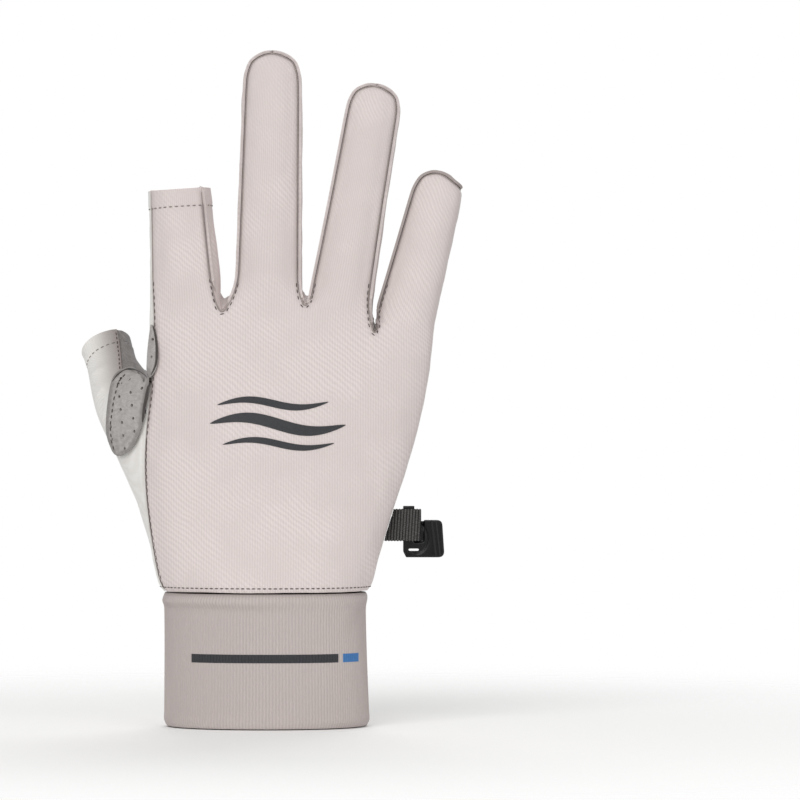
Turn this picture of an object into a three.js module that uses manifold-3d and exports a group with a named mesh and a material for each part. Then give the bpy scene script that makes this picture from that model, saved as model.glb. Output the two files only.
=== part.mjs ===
// A thin right-hand fishing glove, held open as a hand fills it: knitted back, perforated suede palm,
// side strips between the fingers, an open index finger and thumb, a doubled wrist cuff, and a plastic
// hook on a webbing loop. Millimetres: +Z runs from the wrist to the fingertips, the back of the hand
// faces -Y, the thumb lies towards -X, and the origin is the middle of the wrist opening.
//
// One surface of rings, columns and rows describes the outside of the glove. Every seam runs along a
// column or a row of it, so each cut panel is a patch of that surface with its own wall thickness.
import * as THREE from "three";
import { mergeVertices } from "three/addons/utils/BufferGeometryUtils.js";
import Module from "manifold-3d";

const wasm = await Module();
wasm.setup();

// Driving sizes
const knitWall = 1.0;
const suedeWall = 1.2;
const cuffWall = 1.7;
const hemWall = 1.6;
const hemHeight = 6.7;
const seamGap = 0.3;

const cuffHeight = 47.5;
const palmHeight = 103;
const palmWidth = 98;
const palmDepth = 30;
const webWidth = 2.6;

const fingerLength = 89;
const fingerDepth = 21.5;

const thumbWidth = 18.6;
const thumbDepth = 18.2;
const thumbOut = 18.5;
const thumbForward = 32.4;
const thumbRise = 13.5;
const thumbPull = 16.7;
const thumbSpreadAngle = 22;
const thumbBendAngle = 34;
const thumbRollAngle = -17;
const thumbWebWidth = 4.4;

const patchGap = 0.35;
const patchWall = 1.3;
const patchLength = 50;

const strapWidth = 11.2;
const strapThickness = 1.1;
const strapReach = 9.6;
const strapLow = 65.2;
const strapDepth = 3.5;
const strapClearance = 0.5;

const clipThickness = 2.6;
const clipBevel = 0.4;
const clipBarWidth = 4.0;
const clipBarHeight = 18.3;
const clipHeight = 13.3;
const clipLength = 14.6;
const clipDrop = 5.9;
const clipFrame = 1.9;
const clipSlit = 0.8;
const clipCorner = 2.1;
const clipLean = 0.6;

// Sections of the palm from the cuff seam to the finger webs. height is a share of palmHeight, left,
// right and frontSeam are shares of palmWidth, and back and front are shares of palmDepth. frontSeam is
// where the palm panel meets the thumb.
const palmSections = [
  { height: 0.0, left: 0.372, right: 0.362, back: 0.76, front: 0.76, power: 2.1, frontSeam: 0.01 },
  { height: 0.022, left: 0.395, right: 0.383, back: 0.8, front: 0.81, power: 2.1, frontSeam: 0.012 },
  { height: 0.1, left: 0.413, right: 0.398, back: 0.71, front: 0.77, power: 2.2, frontSeam: 0.022 },
  { height: 0.22, left: 0.434, right: 0.43, back: 0.62, front: 0.7, power: 2.3, frontSeam: 0.043 },
  { height: 0.36, left: 0.452, right: 0.475, back: 0.56, front: 0.63, power: 2.4, frontSeam: 0.074 },
  { height: 0.49, left: 0.456, right: 0.512, back: 0.52, front: 0.57, power: 2.5, frontSeam: 0.12 },
  { height: 0.6, left: 0.447, right: 0.541, back: 0.49, front: 0.52, power: 2.6, frontSeam: 0.19 },
  { height: 0.68, left: 0.437, right: 0.56, back: 0.47, front: 0.49, power: 2.7, frontSeam: 0.29 },
  { height: 0.75, left: 0.427, right: 0.575, back: 0.46, front: 0.47, power: 2.8, frontSeam: 0.4 },
  { height: 0.88, left: 0.422, right: 0.594, back: 0.42, front: 0.42, power: 2.9, frontSeam: 0.404 },
  { height: 1.0, left: 0.422, right: 0.603, back: 0.36, front: 0.36, power: 3.0, frontSeam: 0.404 },
];
const thumbSplitRow = 8;

// The bulge that the thumb makes beside each lower palm section: its thenar point, its outermost point
// and its point on the back of the hand. Shares of palmWidth (x) and palmDepth (y); fall lowers the
// middle of the bulge by a share of palmHeight.
const thumbBulges = [
  { thenarX: 0.2, thenarY: 0.64, outerX: 0.324, outerY: 0.38, backX: 0.366, backY: 0.07, fall: 0.0 },
  { thenarX: 0.21, thenarY: 0.69, outerX: 0.345, outerY: 0.41, backX: 0.391, backY: 0.08, fall: 0.0 },
  { thenarX: 0.22, thenarY: 0.73, outerX: 0.368, outerY: 0.44, backX: 0.411, backY: 0.07, fall: 0.006 },
  { thenarX: 0.25, thenarY: 0.8, outerX: 0.415, outerY: 0.5, backX: 0.438, backY: 0.1, fall: 0.016 },
  { thenarX: 0.29, thenarY: 0.9, outerX: 0.468, outerY: 0.6, backX: 0.484, backY: 0.18, fall: 0.03 },
  { thenarX: 0.34, thenarY: 1.0, outerX: 0.528, outerY: 0.72, backX: 0.54, backY: 0.26, fall: 0.044 },
  { thenarX: 0.4, thenarY: 1.07, outerX: 0.588, outerY: 0.84, backX: 0.582, backY: 0.34, fall: 0.054 },
  { thenarX: 0.44, thenarY: 1.1, outerX: 0.618, outerY: 0.92, backX: 0.604, backY: 0.38, fall: 0.06 },
  { thenarX: 0.475, thenarY: 1.12, outerX: 0.638, outerY: 0.97, backX: 0.618, backY: 0.4, fall: 0.062 },
];

// Shares of the way from the thumb's root to its hem at which it has a ring.
const thumbRings = [0.18, 0.38, 0.58, 0.76, 1.0];

// Fingers from the thumb side. rootX, the middle of the root, and the widths are shares of palmWidth,
// length from the root to the tip or hem is a share of fingerLength, and rootY, lean and the depths are
// shares of fingerDepth. tilt spreads the finger and twist turns it about its own axis, in degrees, and
// lean bends its tip to the palm. backLeft and backRight place the back seams, as shares of half the
// width.
const fingers = [
  {
    // index
    open: true, rootX: -0.29, rootY: 0.028, length: 0.445,
    tilt: -3.7, twist: 0, lean: 0.047, backLeft: -0.95, backRight: 0.74,
    rootWidth: 0.265, middleWidth: 0.241, tipWidth: 0.222,
    rootDepth: 0.953, middleDepth: 0.884, tipDepth: 0.856,
  },
  {
    // middle
    open: false, rootX: 0.005, rootY: -0.028, length: 1,
    tilt: 1.1, twist: 5, lean: 0.233, backLeft: -0.85, backRight: 0.93,
    rootWidth: 0.245, middleWidth: 0.228, tipWidth: 0.21,
    rootDepth: 1, middleDepth: 0.865, tipDepth: 0.763,
  },
  {
    // ring
    open: false, rootX: 0.259, rootY: 0.009, length: 0.933,
    tilt: 9.8, twist: 7, lean: 0.233, backLeft: -0.85, backRight: 0.93,
    rootWidth: 0.237, middleWidth: 0.21, tipWidth: 0.198,
    rootDepth: 0.953, middleDepth: 0.828, tipDepth: 0.726,
  },
  {
    // little
    open: false, rootX: 0.492, rootY: 0.093, length: 0.647,
    tilt: 14.6, twist: 16, lean: 0.14, backLeft: -0.82, backRight: 0.9,
    rootWidth: 0.218, middleWidth: 0.196, tipWidth: 0.18,
    rootDepth: 0.86, middleDepth: 0.753, tipDepth: 0.67,
  },
];

// The webs between neighbouring fingers: x is a share of palmWidth, back and front are their heights
// above the cuff on the two sides of the hand, as shares of palmHeight.
const webs = [
  { x: -0.159, back: 0.956, front: 1.0 },
  { x: 0.14, back: 0.98, front: 1.012 },
  { x: 0.391, back: 0.885, front: 0.91 },
];

// Rings along a closed and an open finger, as shares of the tube below its round tip or its hem.
const tubeRows = [0.06, 0.15, 0.28, 0.42, 0.57, 0.72, 0.87, 1.0];
const openTubeRows = [0.13, 0.34, 0.58];
const domeRows = 3;
const domeShare = 0.56;
const innerBackShare = 0.48;
const innerFrontShare = 0.4;
const frontSeamShare = 0.78;
const fingerPower = 2.35;

const degrees = Math.PI / 180;
const mix = THREE.MathUtils.lerp;

// Height of a unit superellipse at a share of its half width.
function arch(share, power) {
  return Math.pow(Math.max(0, 1 - Math.pow(Math.abs(share), power)), 1 / power);
}

// The outer surface, as points and four-sided faces that each belong to one panel.
const points = [];
const faces = [];

function addPoint(x, y, z) {
  points.push(new THREE.Vector3(x, y, z));
  return points.length - 1;
}

// Points at an open end, where the cloth is folded over into a thicker hem.
const hemPoints = new Set();

function addFace(panel, corners) {
  faces.push({ panel, corners });
}

// Joins two rows of equal length with one face for each interval; panelOf names an interval's panel.
function joinRows(lower, upper, panelOf) {
  for (let k = 0; k + 1 < lower.length; k += 1) {
    addFace(panelOf(k), [lower[k], lower[k + 1], upper[k + 1], upper[k]]);
  }
}

// The columns of one finger, in order round its ring: five on the back from the thumb side, three on
// the far side, five on the front and three on the near side.
const ringSize = 16;
const sideShares = [0.25, 0.5, 0.75];
function fingerColumns(finger, power) {
  const backShares = [finger.backLeft, -innerBackShare, 0, innerBackShare, finger.backRight];
  const frontShares = [frontSeamShare, innerFrontShare, 0, -innerFrontShare, -frontSeamShare];
  const columns = backShares.map((s) => ({ s, q: -arch(s, power) }));
  const sideColumns = (from, to, side) =>
    sideShares.map((share) => {
      const q = mix(from, to, share);
      return { s: side * arch(q, power), q };
    });
  const backFar = -arch(finger.backRight, power);
  const backNear = -arch(finger.backLeft, power);
  const front = arch(frontSeamShare, power);
  columns.push(...sideColumns(backFar, front, 1));
  columns.push(...frontShares.map((s) => ({ s, q: arch(s, power) })));
  columns.push(...sideColumns(front, backNear, -1));
  return columns;
}

// Height of the palm's last row over a column of finger f, between the webs on both sides of it. depth
// runs from 0 on the back of the hand to 1 on the palm.
function topHeight(f, across, depth) {
  const before = webs[Math.max(0, f - 1)];
  const after = webs[Math.min(webs.length - 1, f)];
  const back = mix(before.back, after.back, across);
  const front = mix(before.front, after.front, across);
  return cuffHeight + mix(back, front, depth) * palmHeight;
}

// One palm section with its sizes in millimetres.
function sectionOf(row) {
  const t = palmSections[row];
  const left = -t.left * palmWidth;
  const right = t.right * palmWidth;
  return {
    height: t.height,
    middle: (left + right) / 2,
    half: (right - left) / 2,
    back: t.back * palmDepth,
    front: t.front * palmDepth,
    power: t.power,
    frontSeam: -t.frontSeam * palmWidth,
  };
}

const topSection = sectionOf(palmSections.length - 1);

// The columns of the palm's last row. Each finger takes five between the webs on both sides of it.
const edgeShare = 0.975;
const columnShares = [0, 0.25, 0.5, 0.75, 1];
function rootColumns() {
  const first = topSection.middle - edgeShare * topSection.half;
  const last = topSection.middle + edgeShare * topSection.half;
  return fingers.flatMap((finger, f) => {
    const from = f === 0 ? first : webs[f - 1].x * palmWidth + webWidth / 2;
    const to = f === fingers.length - 1 ? last : webs[f].x * palmWidth - webWidth / 2;
    return columnShares.map((across) => {
      const x = mix(from, to, across);
      return { finger: f, across, spread: (x - first) / (last - first) };
    });
  });
}
const palmColumns = rootColumns();

function backPoint(section, column) {
  const half = edgeShare * section.half;
  const x = mix(section.middle - half, section.middle + half, column.spread);
  const s = (x - section.middle) / section.half;
  const top = topHeight(column.finger, column.across, 0);
  return addPoint(x, -section.back * arch(s, section.power), mix(cuffHeight, top, section.height));
}

function frontPoint(section, column) {
  const x = mix(section.frontSeam, section.middle + edgeShare * section.half, column.spread);
  const s = (x - section.middle) / section.half;
  const top = topHeight(column.finger, column.across, 1);
  return addPoint(x, section.front * arch(s, section.power), mix(cuffHeight, top, section.height));
}

// A point on the side of a section: share 0 lies at the back seam and share 1 at the front seam.
function sidePoint(section, side, share) {
  const q = mix(-arch(edgeShare, section.power), arch(edgeShare, section.power), share);
  const top = side < 0 ? topHeight(0, 0, share) : topHeight(fingers.length - 1, 1, share);
  return addPoint(
    section.middle + side * section.half * arch(q, section.power),
    q * (q < 0 ? section.back : section.front),
    mix(cuffHeight, top, section.height),
  );
}

// The thumb's bulge: a curve from the front seam round the thumb to the back seam, through three points
// at the given shares of the height between the seams. The last column stands off from the back seam,
// the more so the nearer the row is to the web.
const bulgeCount = 13;
const bulgeHeights = [0.25, 0.5, 0.8];
const bulgeEndAtCuff = 0.93;
const bulgeEndAtWeb = 0.85;
function bulgePoints(row, section, frontIndex, backIndex) {
  const t = thumbBulges[row];
  const from = points[frontIndex];
  const to = points[backIndex];
  const [thenarZ, outerZ, backZ] = bulgeHeights.map((share) => mix(from.z, to.z, share));
  const curve = new THREE.CatmullRomCurve3(
    [
      from.clone(),
      new THREE.Vector3(-t.thenarX * palmWidth, t.thenarY * palmDepth, thenarZ),
      new THREE.Vector3(-t.outerX * palmWidth, t.outerY * palmDepth, outerZ),
      new THREE.Vector3(-t.backX * palmWidth, t.backY * palmDepth, backZ),
      to.clone(),
    ],
    false,
    "centripetal",
  );
  const lastShare = mix(bulgeEndAtCuff, bulgeEndAtWeb, row / thumbSplitRow);
  const made = [];
  for (let k = 1; k <= bulgeCount; k += 1) {
    const share = (k / bulgeCount) * lastShare;
    const p = curve.getPointAt(share);
    made.push(addPoint(p.x, p.y, p.z - t.fall * palmHeight * Math.sin(Math.PI * share)));
  }
  return made;
}

// Palm rows. Each holds its back, far side, front and thumb or near side columns.
const rows = palmSections.map((t, row) => {
  const section = sectionOf(row);
  const back = palmColumns.map((column) => backPoint(section, column));
  const farSide = sideShares.map((share) => sidePoint(section, 1, share));
  const front = palmColumns.map((column) => frontPoint(section, column)).reverse();
  const frontEnd = front[front.length - 1];
  const thumb = row <= thumbSplitRow ? bulgePoints(row, section, frontEnd, back[0]) : [];
  const nearSide = row >= thumbSplitRow ? sideShares.map((share) => sidePoint(section, -1, 1 - share)) : [];
  return { back, farSide, front, thumb, nearSide };
});

// The panel of each interval round a lower palm row.
const lightThumbStart = 4;
for (let row = 0; row + 1 < rows.length; row += 1) {
  const a = rows[row];
  const b = rows[row + 1];
  joinRows(a.back, b.back, () => "back_panel");
  const lastBack = a.back.length - 1;
  joinRows(
    [a.back[lastBack], ...a.farSide, a.front[0]],
    [b.back[lastBack], ...b.farSide, b.front[0]],
    () => "back_panel",
  );
  joinRows(a.front, b.front, () => "palm_panel");
  const lastFront = a.front.length - 1;
  if (row < thumbSplitRow) {
    joinRows(
      [a.front[lastFront], ...a.thumb, a.back[0]],
      [b.front[lastFront], ...b.thumb, b.back[0]],
      (k) => (k <= lightThumbStart ? "thumb_front_panel" : "thumb_back_panel"),
    );
  } else {
    joinRows(
      [a.front[lastFront], ...a.nearSide, a.back[0]],
      [b.front[lastFront], ...b.nearSide, b.back[0]],
      () => "index_side_strip",
    );
  }
}

// The web points of one side of a finger, from the back seam to the front seam.
function webSide(x, backIndex, frontIndex) {
  const back = points[backIndex];
  const front = points[frontIndex];
  return sideShares.map((share) => addPoint(x, mix(back.y, front.y, share), mix(back.z, front.z, share)));
}

// Sizes of a finger at a share of its length, through its root, middle and tip sizes.
function sizeAt(root, middle, tip, share) {
  const curve = new THREE.QuadraticBezierCurve(
    new THREE.Vector2(0, root),
    new THREE.Vector2(0.5, 2 * middle - (root + tip) / 2),
    new THREE.Vector2(1, tip),
  );
  return curve.getPoint(share).y;
}

// Puts a point of a finger's own frame into the glove: x across, y towards the palm, z along.
function placeOnFinger(finger, rootZ, x, y, z) {
  const twist = finger.twist * degrees;
  const tilt = finger.tilt * degrees;
  const across = x * Math.cos(twist) + y * Math.sin(twist);
  const deep = -x * Math.sin(twist) + y * Math.cos(twist);
  const bend = finger.lean * Math.pow(z / (finger.length * fingerLength), 2);
  return addPoint(
    finger.rootX * palmWidth + across * Math.cos(tilt) + z * Math.sin(tilt),
    (finger.rootY + bend) * fingerDepth + deep,
    rootZ - across * Math.sin(tilt) + z * Math.cos(tilt),
  );
}

// How far over the fingertip each column runs before the tip's cap, as an angle from the tip.
const capAngles = [50, 36, 30, 36, 50, 55, 58, 62, 66, 58, 54, 58, 66, 62, 58, 55];

function buildFinger(f, rootRing) {
  const finger = fingers[f];
  const rootZ = topHeight(f, 0.5, 1);
  const columns = fingerColumns(finger, fingerPower);
  const length = finger.length * fingerLength;
  const dome = finger.open ? 0 : domeShare * finger.tipWidth * palmWidth;
  const tube = length - dome;
  const near = f === 0 ? "index_side_strip" : `finger_gusset_${f}`;
  const far = f === fingers.length - 1 ? "back_panel" : `finger_gusset_${f + 1}`;
  const panelOf = (k) => {
    if (k < 4) return "back_panel";
    if (k < 8) return far;
    return k < 12 ? "palm_panel" : near;
  };
  let last = rootRing;
  const climb = (ring) => {
    joinRows([...last, last[0]], [...ring, ring[0]], panelOf);
    last = ring;
  };
  const rowHeights = finger.open
    ? [...openTubeRows.map((share) => share * tube), tube - hemHeight, tube]
    : tubeRows.map((share) => share * tube);
  for (const along of rowHeights) {
    const width = palmWidth * sizeAt(finger.rootWidth, finger.middleWidth, finger.tipWidth, along / length);
    const depth = fingerDepth * sizeAt(finger.rootDepth, finger.middleDepth, finger.tipDepth, along / length);
    climb(columns.map(({ s, q }) => placeOnFinger(finger, rootZ, (s * width) / 2, (q * depth) / 2, along)));
  }
  if (finger.open) {
    last.forEach((index) => hemPoints.add(index));
    return;
  }

  const width = finger.tipWidth * palmWidth;
  const depth = finger.tipDepth * fingerDepth;
  const onDome = (s, q) => {
    const sum = Math.pow(Math.abs(s), fingerPower) + Math.pow(Math.abs(q), fingerPower);
    const r = Math.min(1, Math.pow(sum, 1 / fingerPower));
    return placeOnFinger(finger, rootZ, (s * width) / 2, (q * depth) / 2, tube + dome * Math.sqrt(1 - r * r));
  };
  let border = [];
  for (let step = 1; step <= domeRows; step += 1) {
    border = columns.map(({ s, q }, k) => {
      const reach = Math.sin(mix(90, capAngles[k], step / domeRows) * degrees);
      return { s: s * reach, q: q * reach };
    });
    climb(border.map(({ s, q }) => onDome(s, q)));
  }
  // The cap is a square of faces inside the last ring, with its own nine inner points.
  const side = ringSize / 4;
  const blend = (key, u, v) => {
    const back = border[u * side][key];
    const front = border[3 * side - u * side][key];
    const left = v === 0 ? border[0][key] : border[ringSize - v * side][key];
    const right = border[side + v * side][key];
    const corners =
      (1 - u) * (1 - v) * border[0][key] + u * (1 - v) * border[side][key] +
      u * v * border[2 * side][key] + (1 - u) * v * border[3 * side][key];
    return (1 - v) * back + v * front + (1 - u) * left + u * right - corners;
  };
  const grid = [];
  for (let j = 0; j <= side; j += 1) {
    grid.push([]);
    for (let i = 0; i <= side; i += 1) {
      let index;
      if (j === 0) index = last[i];
      else if (j === side) index = last[3 * side - i];
      else if (i === 0) index = last[ringSize - j];
      else if (i === side) index = last[side + j];
      else index = onDome(blend("s", i / side, j / side), blend("q", i / side, j / side));
      grid[j].push(index);
    }
  }
  for (let j = 0; j < side; j += 1) {
    for (let i = 0; i < side; i += 1) {
      const capPanel = i < side / 2 || far === "back_panel" ? near : far;
      addFace(capPanel, [grid[j][i], grid[j][i + 1], grid[j + 1][i + 1], grid[j + 1][i]]);
    }
  }
}

// Finger roots: the last palm row gives their back and front, and the webs give their sides.
const top = rows[rows.length - 1];
const perFinger = ringSize / 4 + 1;
const backOf = (f) => top.back.slice(f * perFinger, (f + 1) * perFinger);
const frontOf = (f) => {
  const start = (fingers.length - 1 - f) * perFinger;
  return top.front.slice(start, start + perFinger);
};
const farWebs = [];
const nearWebs = [top.nearSide.slice().reverse()];
for (let f = 0; f + 1 < fingers.length; f += 1) {
  const backFrom = backOf(f)[perFinger - 1];
  const backTo = backOf(f + 1)[0];
  const frontFrom = frontOf(f)[0];
  const frontTo = frontOf(f + 1)[perFinger - 1];
  const x = webs[f].x * palmWidth;
  const before = webSide(x - webWidth / 2, backFrom, frontFrom);
  const after = webSide(x + webWidth / 2, backTo, frontTo);
  farWebs.push(before);
  nearWebs.push(after);
  const fromLine = [backFrom, ...before, frontFrom];
  const toLine = [backTo, ...after, frontTo];
  for (let k = 0; k + 1 < fromLine.length; k += 1) {
    addFace(`finger_gusset_${f + 1}`, [fromLine[k], toLine[k], toLine[k + 1], fromLine[k + 1]]);
  }
}
farWebs.push(top.farSide);
fingers.forEach((finger, f) => {
  buildFinger(f, [...backOf(f), ...farWebs[f], ...frontOf(f), ...nearWebs[f].slice().reverse()]);
});

// The thumb. Its first ring is the bulge of the split row closed by the web beside the index finger,
// and each point runs on from there along a smooth curve to its place on the hem.
const split = rows[thumbSplitRow];
const belowSplit = rows[thumbSplitRow - 1];
const handSide = split.nearSide.slice().reverse();
const thumbSide = handSide.map((index, k) => {
  const p = points[split.thumb[bulgeCount - 1]].clone().lerp(points[split.thumb[0]], sideShares[k]);
  return addPoint(Math.min(p.x, points[index].x - thumbWebWidth), p.y, points[index].z);
});
const webHandLine = [split.back[0], ...handSide, split.front[split.front.length - 1]];
const webThumbLine = [split.thumb[bulgeCount - 1], ...thumbSide, split.thumb[0]];
for (let k = 0; k + 1 < webHandLine.length; k += 1) {
  addFace("thumb_front_panel", [webHandLine[k], webHandLine[k + 1], webThumbLine[k + 1], webThumbLine[k]]);
}
const spread = thumbSpreadAngle * degrees;
const bend = thumbBendAngle * degrees;
const thumbAxis = new THREE.Vector3(
  -Math.sin(spread) * Math.cos(bend),
  Math.sin(bend),
  Math.cos(spread) * Math.cos(bend),
);
const thumbAcross = new THREE.Vector3(1, 0, 0)
  .projectOnPlane(thumbAxis)
  .normalize()
  .applyAxisAngle(thumbAxis, thumbRollAngle * degrees);
const thumbDorsal = new THREE.Vector3().crossVectors(thumbAcross, thumbAxis);
const thumbRoot = [...split.thumb, ...thumbSide];
const webCrotch = points[split.back[0]];
const thumbHemCentre = new THREE.Vector3(webCrotch.x - thumbOut, thumbForward, webCrotch.z + thumbRise);
// The ring starts at its corner between the web and the palm, an eighth of a turn from the web.
const thumbHem = thumbRoot.map((index, k) => {
  const angle = -2 * Math.PI * (1 / 8 + k / ringSize);
  return thumbHemCentre
    .clone()
    .addScaledVector(thumbAcross, (Math.cos(angle) * thumbWidth) / 2)
    .addScaledVector(thumbDorsal, (Math.sin(angle) * thumbDepth) / 2);
});
const thumbLeave = thumbRoot.map((index, k) => {
  if (k >= bulgeCount) return thumbAxis.clone();
  return points[index].clone().sub(points[belowSplit.thumb[k]]).normalize();
});
let thumbRing = thumbRoot;
for (const t of thumbRings) {
  const fromRoot = 2 * t ** 3 - 3 * t ** 2 + 1;
  const leaving = (t ** 3 - 2 * t ** 2 + t) * thumbPull;
  const arriving = (t ** 3 - t ** 2) * thumbPull;
  const made = thumbRoot.map((index, k) => {
    const p = points[index]
      .clone()
      .multiplyScalar(fromRoot)
      .addScaledVector(thumbHem[k], 1 - fromRoot)
      .addScaledVector(thumbLeave[k], leaving)
      .addScaledVector(thumbAxis, arriving);
    return addPoint(p.x, p.y, p.z);
  });
  joinRows([...thumbRing, thumbRing[0]], [...made, made[0]], (k) =>
    k >= lightThumbStart && k < bulgeCount - 1 ? "thumb_back_panel" : "thumb_front_panel",
  );
  thumbRing = made;
}
thumbRing.forEach((index) => hemPoints.add(index));

// The outward direction at each point, from the faces round it.
const outward = points.map(() => new THREE.Vector3());
for (const { corners } of faces) {
  const [a, b, c, d] = corners.map((index) => points[index]);
  const normal = new THREE.Vector3().crossVectors(c.clone().sub(a), d.clone().sub(b));
  corners.forEach((index) => outward[index].add(normal));
}
outward.forEach((n) => n.normalize());

function toGeometry(positions, triangles) {
  const geometry = new THREE.BufferGeometry();
  const numbers = positions.flatMap((p) => [p.x, p.y, p.z]);
  geometry.setAttribute("position", new THREE.Float32BufferAttribute(numbers, 3));
  geometry.setIndex(triangles);
  geometry.computeVertexNormals();
  return geometry;
}

// Two triangles for a four-sided face, cut along its shorter diagonal.
function cutFace(positions, [a, b, c, d]) {
  const first = positions[a].distanceTo(positions[c]);
  const second = positions[b].distanceTo(positions[d]);
  return first <= second ? [a, b, c, a, c, d] : [a, b, d, b, c, d];
}

// A wall over some faces of the outer surface: outer points raised by lift, inner points one wall
// further in, and the cut edge between them. Its edges step back by the given amount.
function wallGeometry(patch, { lift, wallAt, stepBack }) {
  const edges = new Map();
  for (const { corners } of patch) {
    corners.forEach((from, k) => {
      const to = corners[(k + 1) % corners.length];
      const back = `${to}_${from}`;
      if (edges.has(back)) edges.delete(back);
      else edges.set(`${from}_${to}`, { from, to, corners });
    });
  }
  const step = new Map();
  for (const { from, to, corners } of edges.values()) {
    const along = points[to].clone().sub(points[from]).normalize();
    const middle = new THREE.Vector3();
    corners.forEach((index) => middle.addScaledVector(points[index], 1 / corners.length));
    for (const index of [from, to]) {
      const inward = middle.clone().sub(points[index]);
      inward.addScaledVector(along, -inward.dot(along));
      inward.addScaledVector(outward[index], -inward.dot(outward[index])).normalize();
      if (!step.has(index)) step.set(index, new THREE.Vector3());
      step.get(index).addScaledVector(inward, stepBack);
    }
  }
  const used = [...new Set(patch.flatMap((face) => face.corners))];
  const place = new Map(used.map((index, k) => [index, k]));
  const outer = used.map((index) => {
    const shift = step.get(index) ?? new THREE.Vector3();
    shift.clampLength(0, 2 * stepBack);
    return points[index].clone().add(shift).addScaledVector(outward[index], lift);
  });
  const inner = used.map((index, k) => outer[k].clone().addScaledVector(outward[index], -wallAt(index)));
  const positions = [...outer, ...inner];
  const triangles = [];
  for (const { corners } of patch) {
    const cut = cutFace(positions, corners.map((index) => place.get(index)));
    triangles.push(...cut);
    triangles.push(...cut.map((index) => index + used.length).reverse());
  }
  for (const { from, to } of edges.values()) {
    const a = place.get(from);
    const b = place.get(to);
    triangles.push(...cutFace(positions, [b, a, a + used.length, b + used.length]));
  }
  return toGeometry(positions, triangles);
}

// A panel keeps half the seam gap on its side of each seam, and is thicker at a folded hem.
function panelGeometry(panel, wall) {
  return wallGeometry(
    faces.filter((face) => face.panel === panel),
    { lift: 0, wallAt: (index) => (hemPoints.has(index) ? hemWall : wall), stepBack: seamGap / 2 },
  );
}

// A tube wall closed on itself: rings of equal length, where the last joins the first again.
function ringShell(rings) {
  const size = rings[0].length;
  const positions = rings.flat();
  const triangles = [];
  rings.forEach((ring, r) => {
    const next = (r + 1) % rings.length;
    for (let k = 0; k < size; k += 1) {
      const m = (k + 1) % size;
      triangles.push(...cutFace(positions, [r * size + k, r * size + m, next * size + m, next * size + k]));
    }
  });
  return toGeometry(positions, triangles);
}

// The cuff: heights are shares of cuffHeight, and grow is a share of the width and depth that the palm
// has at its lower edge. The cloth is doubled, folded at the bottom and gathered under the top seam.
const cuffSections = [
  { height: 0.0, grow: 0.985 },
  { height: 0.02, grow: 1.008 },
  { height: 0.18, grow: 1.004 },
  { height: 0.5, grow: 0.994 },
  { height: 0.82, grow: 0.99 },
  { height: 0.9, grow: 0.994 },
  { height: 0.945, grow: 1.014 },
  { height: 1.0, grow: 1.0 },
];
const cuffColumns = 48;
function cuffGeometry() {
  const wrist = sectionOf(0);
  const cuffTop = cuffHeight - seamGap;
  const ringAt = ({ height, grow }, inset) => {
    const ring = [];
    for (let k = 0; k < cuffColumns; k += 1) {
      const angle = ((k * 360) / cuffColumns) * degrees;
      const c = Math.cos(angle);
      const sn = Math.sin(angle);
      const across = Math.sign(c) * Math.pow(Math.abs(c), 2 / wrist.power);
      const deep = Math.sign(sn) * Math.pow(Math.abs(sn), 2 / wrist.power);
      ring.push(
        new THREE.Vector3(
          wrist.middle * height + across * (wrist.half * grow - inset),
          deep * (wrist.back * grow - inset),
          height * cuffTop,
        ),
      );
    }
    return ring;
  };
  const outer = cuffSections.map((section) => ringAt(section, 0));
  const inner = cuffSections.map((section) => ringAt(section, cuffWall)).reverse();
  return ringShell([...outer, ...inner]);
}

// The nearest place on the glove's outer surface to a point, with the outward direction there.
const surface = faces.flatMap(({ corners }) => {
  const [a, b, c, d] = corners;
  return [[a, b, c], [a, c, d]];
});
const surfaceTriangle = new THREE.Triangle();
const surfaceTarget = new THREE.Vector3();
function nearestOnSurface(point) {
  let best = Infinity;
  const found = { place: new THREE.Vector3(), normal: new THREE.Vector3() };
  const weights = new THREE.Vector3();
  for (const [a, b, c] of surface) {
    surfaceTriangle.set(points[a], points[b], points[c]);
    surfaceTriangle.closestPointToPoint(point, surfaceTarget);
    const distance = surfaceTarget.distanceToSquared(point);
    if (distance < best) {
      best = distance;
      found.place.copy(surfaceTarget);
      surfaceTriangle.getBarycoord(surfaceTarget, weights);
      found.normal
        .set(0, 0, 0)
        .addScaledVector(outward[a], weights.x)
        .addScaledVector(outward[b], weights.y)
        .addScaledVector(outward[c], weights.z)
        .normalize();
    }
  }
  return found;
}

// The reinforcement in the web of the thumb, in two wings that meet at the web's crotch. Each section
// crosses a wing between two places given from the crotch as shares of patchLength: x, y and rise. The
// first wing lies on the back of the thumb, the second runs up beside the index finger.
const thumbWing = [
  { rise: -0.56, edgeX: -0.18, edgeY: 0.27, farX: -0.235, farY: 0.38 },
  { rise: -0.52, edgeX: -0.13, edgeY: 0.16, farX: -0.276, farY: 0.43 },
  { rise: -0.45, edgeX: -0.09, edgeY: 0.06, farX: -0.306, farY: 0.48 },
  { rise: -0.36, edgeX: -0.065, edgeY: 0.0, farX: -0.33, farY: 0.5 },
  { rise: -0.25, edgeX: -0.05, edgeY: 0.0, farX: -0.338, farY: 0.48 },
  { rise: -0.14, edgeX: -0.03, edgeY: 0.0, farX: -0.326, farY: 0.44 },
  { rise: -0.05, edgeX: -0.012, edgeY: 0.01, farX: -0.31, farY: 0.4 },
  { rise: 0.01, edgeX: -0.07, edgeY: 0.16, farX: -0.292, farY: 0.38 },
  { rise: 0.06, edgeX: -0.11, edgeY: 0.27, farX: -0.256, farY: 0.38 },
  { rise: 0.085, edgeX: -0.15, edgeY: 0.31, farX: -0.21, farY: 0.37 },
];
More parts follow.
